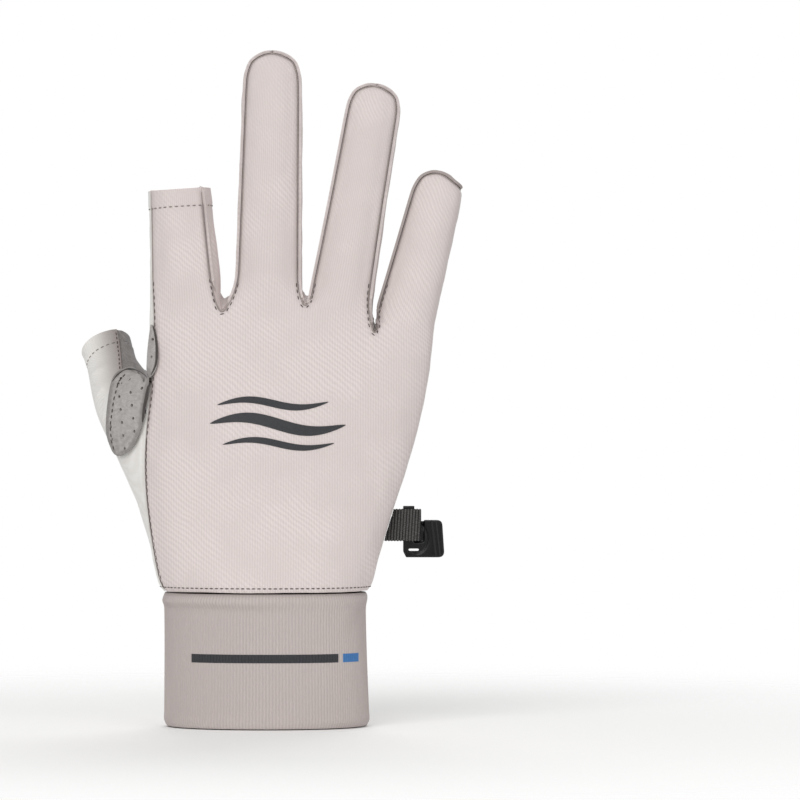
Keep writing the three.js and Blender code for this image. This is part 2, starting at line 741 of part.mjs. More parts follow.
const indexWing = [
  { rise: -0.09, edgeX: 0.01, edgeY: -0.02, farX: -0.03, farY: 0.02 },
  { rise: -0.02, edgeX: 0.03, edgeY: -0.03, farX: -0.01, farY: 0.04 },
  { rise: 0.08, edgeX: 0.055, edgeY: -0.03, farX: 0.0, farY: 0.09 },
  { rise: 0.18, edgeX: 0.06, edgeY: -0.03, farX: 0.0, farY: 0.1 },
  { rise: 0.3, edgeX: 0.04, edgeY: -0.02, farX: 0.0, farY: 0.08 },
  { rise: 0.41, edgeX: 0.015, edgeY: 0.0, farX: 0.0, farY: 0.03 },
];
function wingGeometry(sections, across) {
  const crotch = points[split.back[0]];
  const ends = sections.map(({ rise, edgeX, edgeY, farX, farY }) => [
    new THREE.Vector3(edgeX, edgeY, rise).multiplyScalar(patchLength).add(crotch),
    new THREE.Vector3(farX, farY, rise).multiplyScalar(patchLength).add(crotch),
  ]);
  const edge = new THREE.CatmullRomCurve3(ends.map(([from]) => from));
  const far = new THREE.CatmullRomCurve3(ends.map(([, to]) => to));
  const lines = 2 * (sections.length - 1);
  const grid = Array.from({ length: lines + 1 }, (_, r) => {
    const from = edge.getPoint(r / lines);
    const to = far.getPoint(r / lines);
    const line = [];
    for (let k = 0; k <= across; k += 1) {
      line.push(nearestOnSurface(from.clone().lerp(to, k / across)));
    }
    return line;
  });
  const size = across + 1;
  const lift = (distance) =>
    grid.flat().map(({ place, normal }) => place.clone().addScaledVector(normal, distance));
  const positions = [...lift(patchGap + patchWall), ...lift(patchGap / 2)];
  const half = size * grid.length;
  const triangles = [];
  for (let r = 0; r + 1 < grid.length; r += 1) {
    for (let k = 0; k + 1 < size; k += 1) {
      const a = r * size + k;
      const cut = cutFace(positions, [a, a + size, a + size + 1, a + 1]);
      triangles.push(...cut);
      triangles.push(...cut.map((index) => index + half).reverse());
    }
  }
  const rim = [];
  for (let k = 0; k < size; k += 1) rim.push(k);
  for (let r = 1; r < grid.length; r += 1) rim.push(r * size + size - 1);
  for (let k = size - 2; k >= 0; k -= 1) rim.push((grid.length - 1) * size + k);
  for (let r = grid.length - 2; r > 0; r -= 1) rim.push(r * size);
  rim.forEach((a, k) => {
    const b = rim[(k + 1) % rim.length];
    triangles.push(a, b, b + half, a, b + half, a + half);
  });
  return toGeometry(positions, triangles);
}

// Solids for the joins and cuts, and the way back to a geometry.
function toSolid(geometry) {
  const bare = geometry.clone();
  bare.deleteAttribute("normal");
  bare.deleteAttribute("uv");
  const merged = mergeVertices(bare, 1e-4);
  return new wasm.Manifold(
    new wasm.Mesh({
      numProp: 3,
      vertProperties: new Float32Array(merged.attributes.position.array),
      triVerts: new Uint32Array(merged.index.array),
    }),
  );
}

function fromSolid(solid) {
  const mesh = solid.getMesh();
  const geometry = new THREE.BufferGeometry();
  geometry.setAttribute("position", new THREE.BufferAttribute(mesh.vertProperties, 3));
  geometry.setIndex(new THREE.BufferAttribute(mesh.triVerts, 1));
  geometry.computeVertexNormals();
  return geometry;
}

// The wings joined, less the cloth below them and the gap above it. Only the cloth above clothFrom, a
// share of palmHeight, lies near the wings.
const thumbWingColumns = 8;
const indexWingColumns = 3;
const clothFrom = 0.3;
function patchGeometry() {
  const wings = toSolid(wingGeometry(thumbWing, thumbWingColumns)).add(
    toSolid(wingGeometry(indexWing, indexWingColumns)),
  );
  const nearWings = (index) => points[index].z > cuffHeight + palmHeight * clothFrom;
  const cloth = wallGeometry(
    faces.filter(({ corners }) => corners.every(nearWings)),
    { lift: patchGap, wallAt: () => 2 * suedeWall, stepBack: 0 },
  );
  const bodies = wings.subtract(toSolid(cloth)).decompose();
  return fromSolid(bodies.sort((a, b) => b.volume() - a.volume())[0]);
}

// Where a line across the glove at a given depth and height meets its little-finger side.
function sideOfGlove(y, z) {
  const ray = new THREE.Ray(new THREE.Vector3(2 * palmWidth, y, z), new THREE.Vector3(-1, 0, 0));
  let x = -Infinity;
  for (const [a, b, c] of surface) {
    const hit = ray.intersectTriangle(points[a], points[b], points[c], false, surfaceTarget);
    if (hit) x = Math.max(x, hit.x);
  }
  return x;
}

// The webbing leaves the side seam, turns round the clip's bar and comes back to the seam. turnSink is
// the share of the turn's radius that lies beside the bar, and its two layers reach the share flareOpen
// of their full distance at the share flareAt of the way to the bar.
const strapMiddle = strapLow + strapWidth / 2;
const barX = sideOfGlove(strapDepth, strapMiddle) + strapReach - clipBarWidth / 2;
const loopRadius = (clipThickness + strapThickness) / 2 + strapClearance;
const turnSink = 0.4;
const flareAt = 0.5;
const flareOpen = 0.6;
function strapGeometry() {
  const steps = 8;
  const levels = 5;
  const turnX = barX + clipBarWidth / 2 + strapClearance - loopRadius * turnSink;
  const wideX = barX - clipBarWidth / 2 - strapClearance;
  const nearOffset = (strapThickness + seamGap) / 2;
  const profile = (z) => {
    const startX = sideOfGlove(strapDepth, z) + patchGap + seamGap;
    const line = [
      new THREE.Vector2(startX, nearOffset),
      new THREE.Vector2(mix(startX, wideX, flareAt), mix(nearOffset, loopRadius, flareOpen)),
      new THREE.Vector2(wideX, loopRadius),
    ];
    const back = line.map(({ x, y }) => new THREE.Vector2(x, strapDepth - y));
    const front = line.map(({ x, y }) => new THREE.Vector2(x, strapDepth + y)).reverse();
    const turn = [];
    for (let k = 0; k <= steps; k += 1) {
      const angle = Math.PI * (k / steps - 0.5);
      const x = turnX + loopRadius * Math.cos(angle);
      turn.push(new THREE.Vector2(x, strapDepth + loopRadius * Math.sin(angle)));
    }
    return [...back, ...turn, ...front];
  };
  const outlineAt = (z) => {
    const line = profile(z);
    const side = (sign) =>
      line.map((p, k) => {
        const a = line[Math.max(0, k - 1)];
        const b = line[Math.min(line.length - 1, k + 1)];
        const normal = new THREE.Vector2(b.y - a.y, a.x - b.x).normalize();
        const q = p.clone().addScaledVector(normal, (sign * strapThickness) / 2);
        return new THREE.Vector3(q.x, q.y, z);
      });
    return [...side(1), ...side(-1).reverse()];
  };
  const rings = [];
  for (let k = 0; k <= levels; k += 1) {
    rings.push(outlineAt(strapLow + (strapWidth * k) / levels));
  }
  const positions = rings.flat();
  const size = rings[0].length;
  const half = size / 2;
  const triangles = [];
  for (let r = 0; r < levels; r += 1) {
    for (let k = 0; k < size; k += 1) {
      const m = (k + 1) % size;
      const quad = [r * size + k, r * size + m, (r + 1) * size + m, (r + 1) * size + k];
      triangles.push(...cutFace(positions, quad));
    }
  }
  const capAt = (base, flip) => {
    for (let k = 0; k + 1 < half; k += 1) {
      const quad = [base + k, base + k + 1, base + size - 2 - k, base + size - 1 - k];
      const cut = cutFace(positions, quad);
      triangles.push(...(flip ? cut : cut.reverse()));
    }
  };
  capAt(0, false);
  capAt(levels * size, true);
  return toGeometry(positions, triangles);
}

// The clip: a bar through the webbing, and a hooked plate beside and below it, cut from one outline.
function clipGeometry() {
  const left = -clipBarWidth / 2;
  const slotRight = clipBarWidth / 2 + 2 * strapClearance + strapThickness + loopRadius * (1 - turnSink);
  const right = left + clipLength;
  const slotFloor = clipDrop - strapClearance;
  const outline = new THREE.Shape();
  outline.moveTo(left + clipCorner / 2, 0);
  outline.lineTo(right - clipCorner, 0);
  outline.quadraticCurveTo(right, 0, right, clipCorner);
  outline.lineTo(right - clipLean, clipHeight - clipCorner);
  outline.quadraticCurveTo(right - clipLean, clipHeight, right - clipLean - clipCorner, clipHeight);
  outline.lineTo(slotRight, clipHeight);
  outline.lineTo(slotRight, slotFloor + clipCorner / 2);
  outline.quadraticCurveTo(slotRight, slotFloor, slotRight - clipCorner / 2, slotFloor);
  outline.lineTo(-left, slotFloor);
  outline.lineTo(-left, clipBarHeight);
  outline.lineTo(left, clipBarHeight);
  outline.lineTo(left, clipCorner);
  outline.closePath();
  const slit = new THREE.Path();
  const slitLow = (slotFloor - clipSlit) / 2;
  slit.moveTo(left + clipFrame, slitLow);
  slit.lineTo(slotRight - clipFrame, slitLow);
  slit.lineTo(slotRight - clipFrame, slitLow + clipSlit);
  slit.lineTo(left + clipFrame, slitLow + clipSlit);
  slit.closePath();
  outline.holes.push(slit);
  const depth = clipThickness - 2 * clipBevel;
  const geometry = new THREE.ExtrudeGeometry(outline, {
    depth,
    bevelEnabled: true,
    bevelThickness: clipBevel,
    bevelSize: clipBevel,
    bevelOffset: -clipBevel,
    bevelSegments: 2,
    curveSegments: 5,
  });
  geometry.translate(0, 0, -depth / 2);
  geometry.rotateX(Math.PI / 2);
  geometry.translate(barX, strapDepth, strapLow - clipDrop);
  return geometry;
}

const light = new THREE.MeshStandardMaterial({ color: 0xd1c7c4, roughness: 0.75, metalness: 0 });
const pale = new THREE.MeshStandardMaterial({ color: 0xdcdad4, roughness: 0.75, metalness: 0 });
const suede = new THREE.MeshStandardMaterial({ color: 0x847f7c, roughness: 0.92, metalness: 0 });
const plastic = new THREE.MeshStandardMaterial({ color: 0x1c1c1d, roughness: 0.42, metalness: 0 });
const webbing = new THREE.MeshStandardMaterial({ color: 0x232324, roughness: 0.85, metalness: 0 });

const glove = new THREE.Group();
function addNode(name, geometry, material) {
  const mesh = new THREE.Mesh(geometry, material);
  mesh.name = name;
  glove.add(mesh);
  return mesh;
}

addNode("back_panel", panelGeometry("back_panel", knitWall), light);
addNode("palm_panel", panelGeometry("palm_panel", suedeWall), suede);
for (let f = 1; f < fingers.length; f += 1) {
  addNode(`finger_gusset_${f}`, panelGeometry(`finger_gusset_${f}`, knitWall), light);
}
addNode("index_side_strip", panelGeometry("index_side_strip", knitWall), pale);
addNode("thumb_back_panel", panelGeometry("thumb_back_panel", knitWall), pale);
addNode("thumb_front_panel", panelGeometry("thumb_front_panel", suedeWall), suede);

addNode("web_patch", patchGeometry(), suede);
addNode("cuff", cuffGeometry(), light);
addNode("strap_loop", strapGeometry(), webbing);
addNode("clip", clipGeometry(), plastic);

export default glove;
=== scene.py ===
# Looks of a thin fishing glove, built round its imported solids. Metres, in the frame of the solids.
import logging
import math
from dataclasses import dataclass, field
from enum import Enum
from typing import Optional

import bmesh
import bpy
import numpy as np
from mathutils import Matrix, Vector
from mathutils.bvhtree import BVHTree
from mathutils.geometry import barycentric_transform, intersect_point_tri_2d
from mathutils.kdtree import KDTree


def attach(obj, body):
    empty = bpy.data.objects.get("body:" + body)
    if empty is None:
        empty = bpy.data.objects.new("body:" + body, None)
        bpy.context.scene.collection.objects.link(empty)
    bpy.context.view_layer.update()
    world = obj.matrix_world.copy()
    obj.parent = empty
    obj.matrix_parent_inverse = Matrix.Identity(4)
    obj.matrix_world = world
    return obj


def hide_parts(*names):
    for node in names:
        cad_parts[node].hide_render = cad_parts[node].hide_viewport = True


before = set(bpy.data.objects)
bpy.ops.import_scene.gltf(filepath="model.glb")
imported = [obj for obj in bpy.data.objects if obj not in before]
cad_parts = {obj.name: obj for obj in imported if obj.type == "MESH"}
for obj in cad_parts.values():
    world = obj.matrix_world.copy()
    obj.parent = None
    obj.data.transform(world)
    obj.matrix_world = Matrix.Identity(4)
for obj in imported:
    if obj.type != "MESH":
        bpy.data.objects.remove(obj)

logging.basicConfig(level=logging.INFO, format="%(levelname)s %(message)s")
log = logging.getLogger("glove")

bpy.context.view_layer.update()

MM = 0.001
ALL_SMOOTH = 180
Array = np.ndarray
Piece = bpy.types.Object
Shape = bmesh.types.BMesh
Socket = bpy.types.NodeSocket


# Small shared helpers


def linear(hex_colour: str) -> tuple[float, float, float, float]:
    """Turns an sRGB hex value to a linear colour.

    Args:
        hex_colour: Six hex digits after a hash sign.

    Returns:
        Red, green, blue and alpha.
    """
    out = []
    for k in (1, 3, 5):
        value = int(hex_colour[k : k + 2], 16) / 255
        out.append(value / 12.92 if value <= 0.04045 else ((value + 0.055) / 1.055) ** 2.4)
    return (*out, 1.0)


def smoothstep(low: float, high: float, values: Array) -> Array:
    """Rises smoothly from 0 at low to 1 at high."""
    t = np.clip((values - low) / (high - low), 0, 1)
    return t * t * (3 - 2 * t)


def bell(values: Array, width: float) -> Array:
    """A smooth bump, 1 at 0 and near 0 beyond twice its width."""
    return np.exp(-((values / width) ** 2))


def beside_line(points: Array, start: Array, end: Array) -> tuple[Array, Array]:
    """How far along a straight line each place lies, from 0 to 1, and how far off it."""
    line = end - start
    share = np.clip(((points - start) @ line) / (line @ line), 0, 1)
    return share, np.linalg.norm(points - (start + share[:, None] * line), axis=1)


def ripple(
    points: Array, size: float, seed: int, stretch: tuple[float, float, float] = (1, 1, 1)
) -> Array:
    """A smooth field of soft hills, the same at each run.

    Args:
        points: Places, one a row.
        size: Width of a hill in metres.
        seed: Picks the field.
        stretch: How much longer a hill is along each axis.

    Returns:
        A value from about -1 to 1 for each place.
    """
    random = np.random.default_rng(seed)
    scaled = points / np.array(stretch)
    total = np.zeros(len(points))
    waves = 7
    for _ in range(waves):
        direction = random.normal(size=3)
        direction /= np.linalg.norm(direction)
        frequency = math.pi / size * random.uniform(0.6, 1.3)
        total += np.sin(scaled @ direction * frequency + random.uniform(0, 2 * math.pi))
    return total / math.sqrt(waves)


def vertex_array(mesh: bpy.types.Mesh) -> Array:
    """Places of a mesh's vertices, one a row."""
    out = np.empty(len(mesh.vertices) * 3)
    mesh.vertices.foreach_get("co", out)
    return out.reshape(-1, 3)


def normal_array(mesh: bpy.types.Mesh) -> Array:
    """Outward directions of a mesh's vertices, one a row."""
    out = np.empty(len(mesh.vertices) * 3)
    mesh.vertices.foreach_get("normal", out)
    return out.reshape(-1, 3)


def set_vertices(mesh: bpy.types.Mesh, places: Array) -> None:
    """Writes new places to a mesh's vertices."""
    mesh.vertices.foreach_set("co", places.astype(np.float32).ravel())
    mesh.update()


def set_attribute(mesh: bpy.types.Mesh, name: str, values: Array) -> None:
    """Stores one number for each vertex under a name that a material reads."""
    attribute = mesh.attributes.get(name) or mesh.attributes.new(name, "FLOAT", "POINT")
    attribute.data.foreach_set("value", values.astype(np.float32))


def new_piece(name: str, shape: Shape) -> Piece:
    """Makes a scene object of a finished bmesh and frees it.

    Args:
        name: Piece name.
        shape: The shape, in metres in the frame of the solids.

    Returns:
        The object, at the origin.
    """
    mesh = bpy.data.meshes.new(name)
    shape.to_mesh(mesh)
    shape.free()
    piece = bpy.data.objects.new(name, mesh)
    bpy.context.scene.collection.objects.link(piece)
    return piece


def shape_of(mesh: bpy.types.Mesh) -> Shape:
    """A bmesh with what a mesh holds."""
    shape = bmesh.new()
    shape.from_mesh(mesh)
    return shape


def surface_tree(piece: Piece) -> BVHTree:
    """A piece's faces as they are now, to cast on and to lay things on."""
    shape = shape_of(piece.data)
    tree = BVHTree.FromBMesh(shape)
    shape.free()
    return tree


def apply_modifier(piece: Piece, kind: str, **settings: object) -> None:
    """Adds a modifier, puts what it makes into the piece's mesh and drops it.

    Args:
        piece: The piece.
        kind: The modifier's type name.
        settings: Its property values, set in this order.
    """
    modifier = piece.modifiers.new(kind.lower(), kind)
    for key, value in settings.items():
        setattr(modifier, key, value)
    mesh = bpy.data.meshes.new_from_object(piece.evaluated_get(bpy.context.evaluated_depsgraph_get()))
    old = piece.data
    piece.modifiers.clear()
    piece.data = mesh
    mesh.name = piece.name
    bpy.data.meshes.remove(old)


def stamp(
    shape: Shape, template: bpy.types.Mesh, place: Vector, turn: Matrix, size: tuple
) -> None:
    """Adds a copy of a template mesh to a shape.

    Args:
        shape: The shape that grows.
        template: A mesh of unit size.
        place: Where its middle goes.
        turn: How it is turned.
        size: Its stretch along its own axes.
    """
    mesh = template.copy()
    mesh.transform(Matrix.Translation(place) @ turn @ Matrix.Diagonal((*size, 1)))
    shape.from_mesh(mesh)
    bpy.data.meshes.remove(mesh)


def shade(piece: Piece, sharp_degrees: float = 38) -> None:
    """Smooth shading, with edges above an angle kept sharp."""
    shape = shape_of(piece.data)
    limit = math.radians(sharp_degrees)
    for face in shape.faces:
        face.smooth = True
    for edge in shape.edges:
        edge.smooth = not (len(edge.link_faces) == 2 and edge.calc_face_angle(0) > limit)
    shape.to_mesh(piece.data)
    shape.free()


def add_node(
    tree: bpy.types.NodeTree, kind: str, settings: Optional[dict] = None, inputs: Optional[dict] = None
) -> bpy.types.Node:
    """Adds a node with its settings, values and links.

    Args:
        tree: The node tree.
        kind: The node's type name.
        settings: Property values by name.
        inputs: Socket values, or output sockets to link from, by name or number.

    Returns:
        The node.
    """
    node = tree.nodes.new(kind)
    for key, value in (settings or {}).items():
        setattr(node, key, value)
    fill_sockets(tree, node, inputs or {})
    return node


def fill_sockets(tree: bpy.types.NodeTree, node: bpy.types.Node, inputs: dict) -> None:
    """Sets a node's input sockets to values, or links output sockets to them."""
    for key, value in inputs.items():
        if isinstance(value, bpy.types.NodeSocket):
            tree.links.new(value, node.inputs[key])
        else:
            node.inputs[key].default_value = value


class Paint:
    """A material in the making: its Principled shader, and the patterns that feed it."""

    def __init__(self, name: str) -> None:
        """Starts the material, with the piece's own coordinates at hand."""
        self.material = bpy.data.materials.new(name)
        self.material.use_nodes = True
        self.tree = self.material.node_tree
        self.tree.nodes.clear()
        self.shader = add_node(self.tree, "ShaderNodeBsdfPrincipled")
        add_node(self.tree, "ShaderNodeOutputMaterial", inputs={"Surface": self.shader.outputs["BSDF"]})
        self.place = add_node(self.tree, "ShaderNodeTexCoord").outputs["Object"]

    def cloth(self, **mapping: tuple) -> Socket:
        """The cloth map in metres, turned or scaled where a mapping says so."""
        cloth = add_node(self.tree, "ShaderNodeUVMap", {"uv_map": "cloth"}).outputs[0]
        if mapping:
            cloth = add_node(self.tree, "ShaderNodeMapping", inputs={"Vector": cloth, **mapping}).outputs[0]
        return cloth

    def stored(self, name: str) -> Socket:
        """A number that the mesh stores for each vertex."""
        return add_node(self.tree, "ShaderNodeAttribute", {"attribute_name": name}).outputs["Fac"]

    def noise(self, place: Socket, size: float, detail: float, roughness: float = 0.5) -> Socket:
        """Cloudy values from 0 to 1, in lumps of about a size."""
        values = {"Vector": place, "Scale": 1 / size, "Detail": detail, "Roughness": roughness}
        return add_node(self.tree, "ShaderNodeTexNoise", inputs=values).outputs["Fac"]

    def stripes(
        self, place: Socket, across: str, pitch: float, bend: float, detail: float, size: float
    ) -> Socket:
        """Soft stripes.

        Args:
            place: The coordinates.
            across: The axis that crosses them.
            pitch: From one to the next.
            bend: How far they wander.
            detail: How fine the wandering is.
            size: How dense its noise is.

        Returns:
            Values from 0 to 1.
        """
        waves_a_unit = math.pi / 10
        values = {"Vector": place, "Scale": waves_a_unit / pitch, "Distortion": bend}
        values.update({"Detail": detail, "Detail Scale": size})
        return add_node(self.tree, "ShaderNodeTexWave", {"bands_direction": across}, values).outputs["Fac"]

    def product(self, value: Socket, factor: Socket | float, added: Socket | float = 0.0) -> Socket:
        """A value times a factor, and something added."""
        values = {0: value, 1: factor, 2: added}
        return add_node(self.tree, "ShaderNodeMath", {"operation": "MULTIPLY_ADD"}, values).outputs[0]

    def ramp(
        self, value: Socket, low: float, high: float, ends: tuple = (0.0, 1.0), kind: str = "LINEAR"
    ) -> Socket:
        """Turns the range from low to high of a value to the range between two ends."""
        values = {"Value": value, "From Min": low, "From Max": high, "To Min": ends[0], "To Max": ends[1]}
        node = add_node(self.tree, "ShaderNodeMapRange", {"interpolation_type": kind}, values)
        return node.outputs["Result"]

    def colour(self, share: Socket, first: Socket | str, second: Socket | str) -> Socket:
        """A colour between two, each a hex value or a socket."""
        values = {"Factor": share, 6: first, 7: second}
        values = {key: linear(value) if isinstance(value, str) else value for key, value in values.items()}
        return add_node(self.tree, "ShaderNodeMix", {"data_type": "RGBA"}, values).outputs[2]

    def finished(
        self, colour: Socket, height: Socket, strength: float, relief: float, **sockets: object
    ) -> bpy.types.Material:
        """Wires the shader.

        Args:
            colour: The base colour.
            height: The bump's height, from 0 to 1.
            strength: The bump's strength.
            relief: Its real height.
            sockets: The shader's other sockets, with underscores for spaces.

        Returns:
            The material.
        """
        rough = {"Height": height, "Strength": strength, "Distance": relief}
        bump = add_node(self.tree, "ShaderNodeBump", inputs=rough)
        values = {name.replace("_", " "): value for name, value in sockets.items()}
        fill_sockets(self.tree, self.shader, {"Base Color": colour, "Normal": bump.outputs[0], **values})
        return self.material


# Finishes


@dataclass(frozen=True)
class KnitFinish:
    """Warp-knitted polyester and elastane: fine wales, a faint slanting shimmer and a soft dull sheen."""

    name: str
    face: str
    shadow: str
    wale_pitch: float = 0.9 * MM
    slant_pitch: float = 1.6 * MM
    slant_degrees: float = 38.0
    slant_share: float = 0.42
    relief: float = 0.07 * MM
    roughness: float = 0.72
    seam_and_painted_shade: str = "#8d837f"

    def build(self) -> bpy.types.Material:
        """Makes the material. Its pattern follows the piece's own cloth map, in metres."""
        paint = Paint(self.name)
        wales = paint.stripes(paint.cloth(), "X", self.wale_pitch, 1.2, 1.0, 2.0)
        turned = paint.cloth(Rotation=(0, 0, math.radians(self.slant_degrees)))
        slant = paint.stripes(turned, "Y", self.slant_pitch, 5.0, 2.0, 0.6)
        patchy = paint.noise(paint.place, 22 * MM, 2.0)
        fibre = paint.noise(paint.place, 0.8 * MM, 3.0)
        shimmer = paint.product(slant, paint.ramp(patchy, 0.4, 0.62, (0.0, self.slant_share)))
        level = paint.product(fibre, 0.35, paint.product(wales, 0.4, shimmer))
        face = paint.colour(paint.ramp(level, 0.0, 1.1, kind="SMOOTHSTEP"), self.shadow, self.face)
        # Darker where the stored seam value is high: along seams this is part the seam's own darker tone and
        # part painted shade in the sunk groove; on some panels it also holds painted shadow.
        colour = paint.colour(paint.product(paint.stored("seam"), 0.85), face, self.seam_and_painted_shade)
        return paint.finished(
            colour, level, 0.5, self.relief,
            Roughness=self.roughness, Sheen_Weight=0.18, Sheen_Roughness=0.45, Specular_IOR_Level=0.35,
        )


@dataclass(frozen=True)
class SuedeFinish:
    """Brushed microfibre suede: matt and mottled, with a short nap that runs with the hand."""

    name: str
    face: str
    shadow: str
    nap: str
    grain: float = 0.55 * MM
    relief: float = 0.16 * MM
    roughness: float = 0.95
    seam_and_painted_shade: str = "#46413f"

    def build(self) -> bpy.types.Material:
        """Makes the material. The nap is drawn out along the cloth map's length."""
        paint = Paint(self.name)
        nap = paint.noise(paint.cloth(Scale=(1.0, 0.45, 1.0)), self.grain, 4.0, 0.7)
        clumps = paint.noise(paint.place, 1.6 * MM, 3.0)
        wear = paint.noise(paint.place, 30 * MM, 2.0)
        level = paint.product(clumps, 0.5, nap)
        face = paint.colour(paint.ramp(level, 0.55, 0.95), self.shadow, self.face)
        brushed = paint.colour(paint.ramp(wear, 0.4, 0.75, (0.0, 0.35)), face, self.nap)
        # Darker where the stored seam value is high: along the suede panels' seams this is part the seam's
        # own tone and part painted shade in the sunk groove; on the web patch lobes it is a darker rim along
        # the outline.
        colour = paint.colour(paint.product(paint.stored("seam"), 0.5), brushed, self.seam_and_painted_shade)
        return paint.finished(
            colour, level, 0.8, self.relief,
            Roughness=self.roughness, Sheen_Weight=0.25, Sheen_Roughness=0.6, Specular_IOR_Level=0.2,
        )


@dataclass(frozen=True)
class ThreadFinish:
    """Spun polyester sewing thread or woven tape: twisted strands; on ribbed tape, painted shade in the rib
    valleys and a painted highlight on the rib crowns.
    """

    name: str
    face: str
    shadow: str
    strand: float = 0.35 * MM
    roughness: float = 0.6
    ribbed: bool = False

    def build(self) -> bpy.types.Material:
        """Makes the material, with strands from noise on the piece's own coordinates."""
        paint = Paint(self.name)
        strands = paint.noise(paint.place, self.strand, 3.0)
        # On ribbed tape the stored rib value takes the valleys to the dark shadow tone and the crowns
        # lighter: painted shade and painted highlight.
        tone = paint.product(strands, paint.stored("rib_painted_light")) if self.ribbed else strands
        colour = paint.colour(tone, self.shadow, self.face)
        gloss = 0.15 if self.ribbed else 0.4
        return paint.finished(
            colour, strands, 0.7, 0.08 * MM, Roughness=self.roughness, Specular_IOR_Level=gloss
        )


@dataclass(frozen=True)
class PlasticFinish:
    """Injection-moulded black acetal: glossy, with faint flow marks and finely scuffed edges."""

    name: str
    face: str
    scuff: str
    roughness: float = 0.28

    def build(self) -> bpy.types.Material:
        """Makes the material."""
        paint = Paint(self.name)
        flow = paint.noise(paint.place, 4 * MM, 3.0)
        rub = paint.noise(paint.place, 0.5 * MM, 4.0)
        colour = paint.colour(paint.ramp(rub, 0.52, 0.8, (0.0, 0.6)), self.face, self.scuff)
        gloss = paint.ramp(flow, 0.0, 1.0, (self.roughness - 0.06, self.roughness + 0.12))
        return paint.finished(colour, flow, 0.25, 0.15 * MM, Roughness=gloss, Specular_IOR_Level=0.3)


class Finish(Enum):
    """The finishes of the glove, each made once."""

    KNIT = KnitFinish("warp_knit_polyester", "#dfd4d1", "#ccc1be")
    # A whiter copy of the knit for the thumb's back and the index finger's side strip: the extra whiteness is
    # painted light, for the different light on these faces.
    PALE_KNIT = KnitFinish("warp_knit_polyester_painted_light", "#f3f1ee", "#e7e4df", slant_share=0.15)
    CUFF_KNIT = KnitFinish("doubled_rib_knit_polyester", "#c9bfbb", "#afa5a2", 0.97 * MM, slant_share=0.0)
    SUEDE = SuedeFinish("microfibre_suede", "#8f8a87", "#6c6765", "#9c9794")
    PATCH = SuedeFinish("thick_microfibre_suede", "#b4b0ad", "#8d8986", "#bcb8b5")
    THREAD = ThreadFinish("spun_polyester_thread", "#5b524e", "#2e2927")
    HEM_THREAD = ThreadFinish("light_polyester_thread", "#8f8682", "#6b6460")
    # Painted shade in the rib valleys and a painted highlight on the crowns, through the stored rib value.
    WEBBING = ThreadFinish("grosgrain_nylon_webbing", "#6b6968", "#080808", 0.5 * MM, 0.75, ribbed=True)
    ACETAL = PlasticFinish("moulded_black_acetal", "#0a0a0b", "#232324")
    SEAM_CORD = ThreadFinish("overlocked_seam_edge", "#a79c98", "#857b77", strand=0.6 * MM, roughness=0.8)
    # The web patch's raised rolled edges, coloured dark as painted shadow.
    PAINTED_SHADOW_EDGE = SuedeFinish("suede_edge_painted_shadow", "#4a4543", "#2f2b2a", "#5a5552")
    BLUE_PRINT = ThreadFinish("blue_heat_transfer_print", "#3f78b4", "#35669a", 0.7 * MM, 0.5)
    PRINT = ThreadFinish("heat_transfer_print", "#35363a", "#232427", 0.7 * MM, 0.5)

    def material(self) -> bpy.types.Material:
        """The finish's material, made at its first use."""
        return bpy.data.materials.get(self.value.name) or self.value.build()


def dress(piece: Piece, finish: Finish, slot: str, *nodes: str) -> None:
    """Gives a piece its finish and body, and hides the solids it stands for.

    Args:
        piece: The finished piece.
        finish: Its finish.
        slot: The record's material slot; not used.
        nodes: The solids it replaces, if any.
    """
    piece.data.materials.clear()
    piece.data.materials.append(finish.material())
    if nodes:
        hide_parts(*nodes)
    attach(piece, "root")
    log.info("%s: %d faces", piece.name, len(piece.data.polygons))


# Where the glove's parts lie, as the solids have them


@dataclass(frozen=True)
class FingerLine:
    """The middle line of a finger: its root on the knuckle line and its tilt to the side."""

    root_x: float
    root_z: float
    tilt_degrees: float
    half_depth: float

    def local(self, points: Array) -> tuple[Array, Array]:
        """Distances across and along the finger from its root."""
        tilt = math.radians(self.tilt_degrees)
        dx = points[:, 0] - self.root_x
        dz = points[:, 2] - self.root_z
        return dx * math.cos(tilt) - dz * math.sin(tilt), dx * math.sin(tilt) + dz * math.cos(tilt)


FINGERS = (
    FingerLine(-28.4 * MM, 150.5 * MM, -3.7, 9.5 * MM),
    FingerLine(0.5 * MM, 151.1 * MM, 1.1, 9.8 * MM),
    FingerLine(25.4 * MM, 146.5 * MM, 9.8, 9.3 * MM),
    FingerLine(48.2 * MM, 141.2 * MM, 14.6, 8.3 * MM),
)
PUCKER_SEED, WIDE_SEED, FINE_SEED, CUFF_SEED, PATCH_SEED = 11, 5, 6, 31, 41
CUFF_TOP = 47.5 * MM
HEM_HEIGHT = 6.7 * MM
INDEX_RIGHT = -12 * MM
THUMB_RIGHT = -45 * MM
BEFORE_BACK = -60 * MM
LOOK = Vector((0, 1, 0))
THUMB_PANELS = ("thumb_back_panel", "thumb_front_panel")
HAND_PANELS = ("back_panel", "palm_panel", *THUMB_PANELS)
INDEX_PANELS = ("back_panel", "palm_panel", "index_side_strip", "finger_gusset_1")
INDEX_HEM_TOP = 190.1 * MM
THUMB_AXIS = Vector((-0.3106, 0.5592, 0.7687))


def thumb_hem() -> Vector:
    """The middle of the thumb's open end, from the thumb's two solids."""
    places = [v.co for node in THUMB_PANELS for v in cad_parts[node].data.vertices]
    top = max(p.dot(THUMB_AXIS) for p in places)
    rim = [p for p in places if p.dot(THUMB_AXIS) > top - 0.3 * MM]
    return sum(rim, Vector()) / len(rim)


THUMB_HEM = thumb_hem()


class Side(Enum):
    """Which way a cut panel faces."""

    BACK = "back"
    PALM = "palm"
    EDGE = "edge"
    THUMB = "thumb"


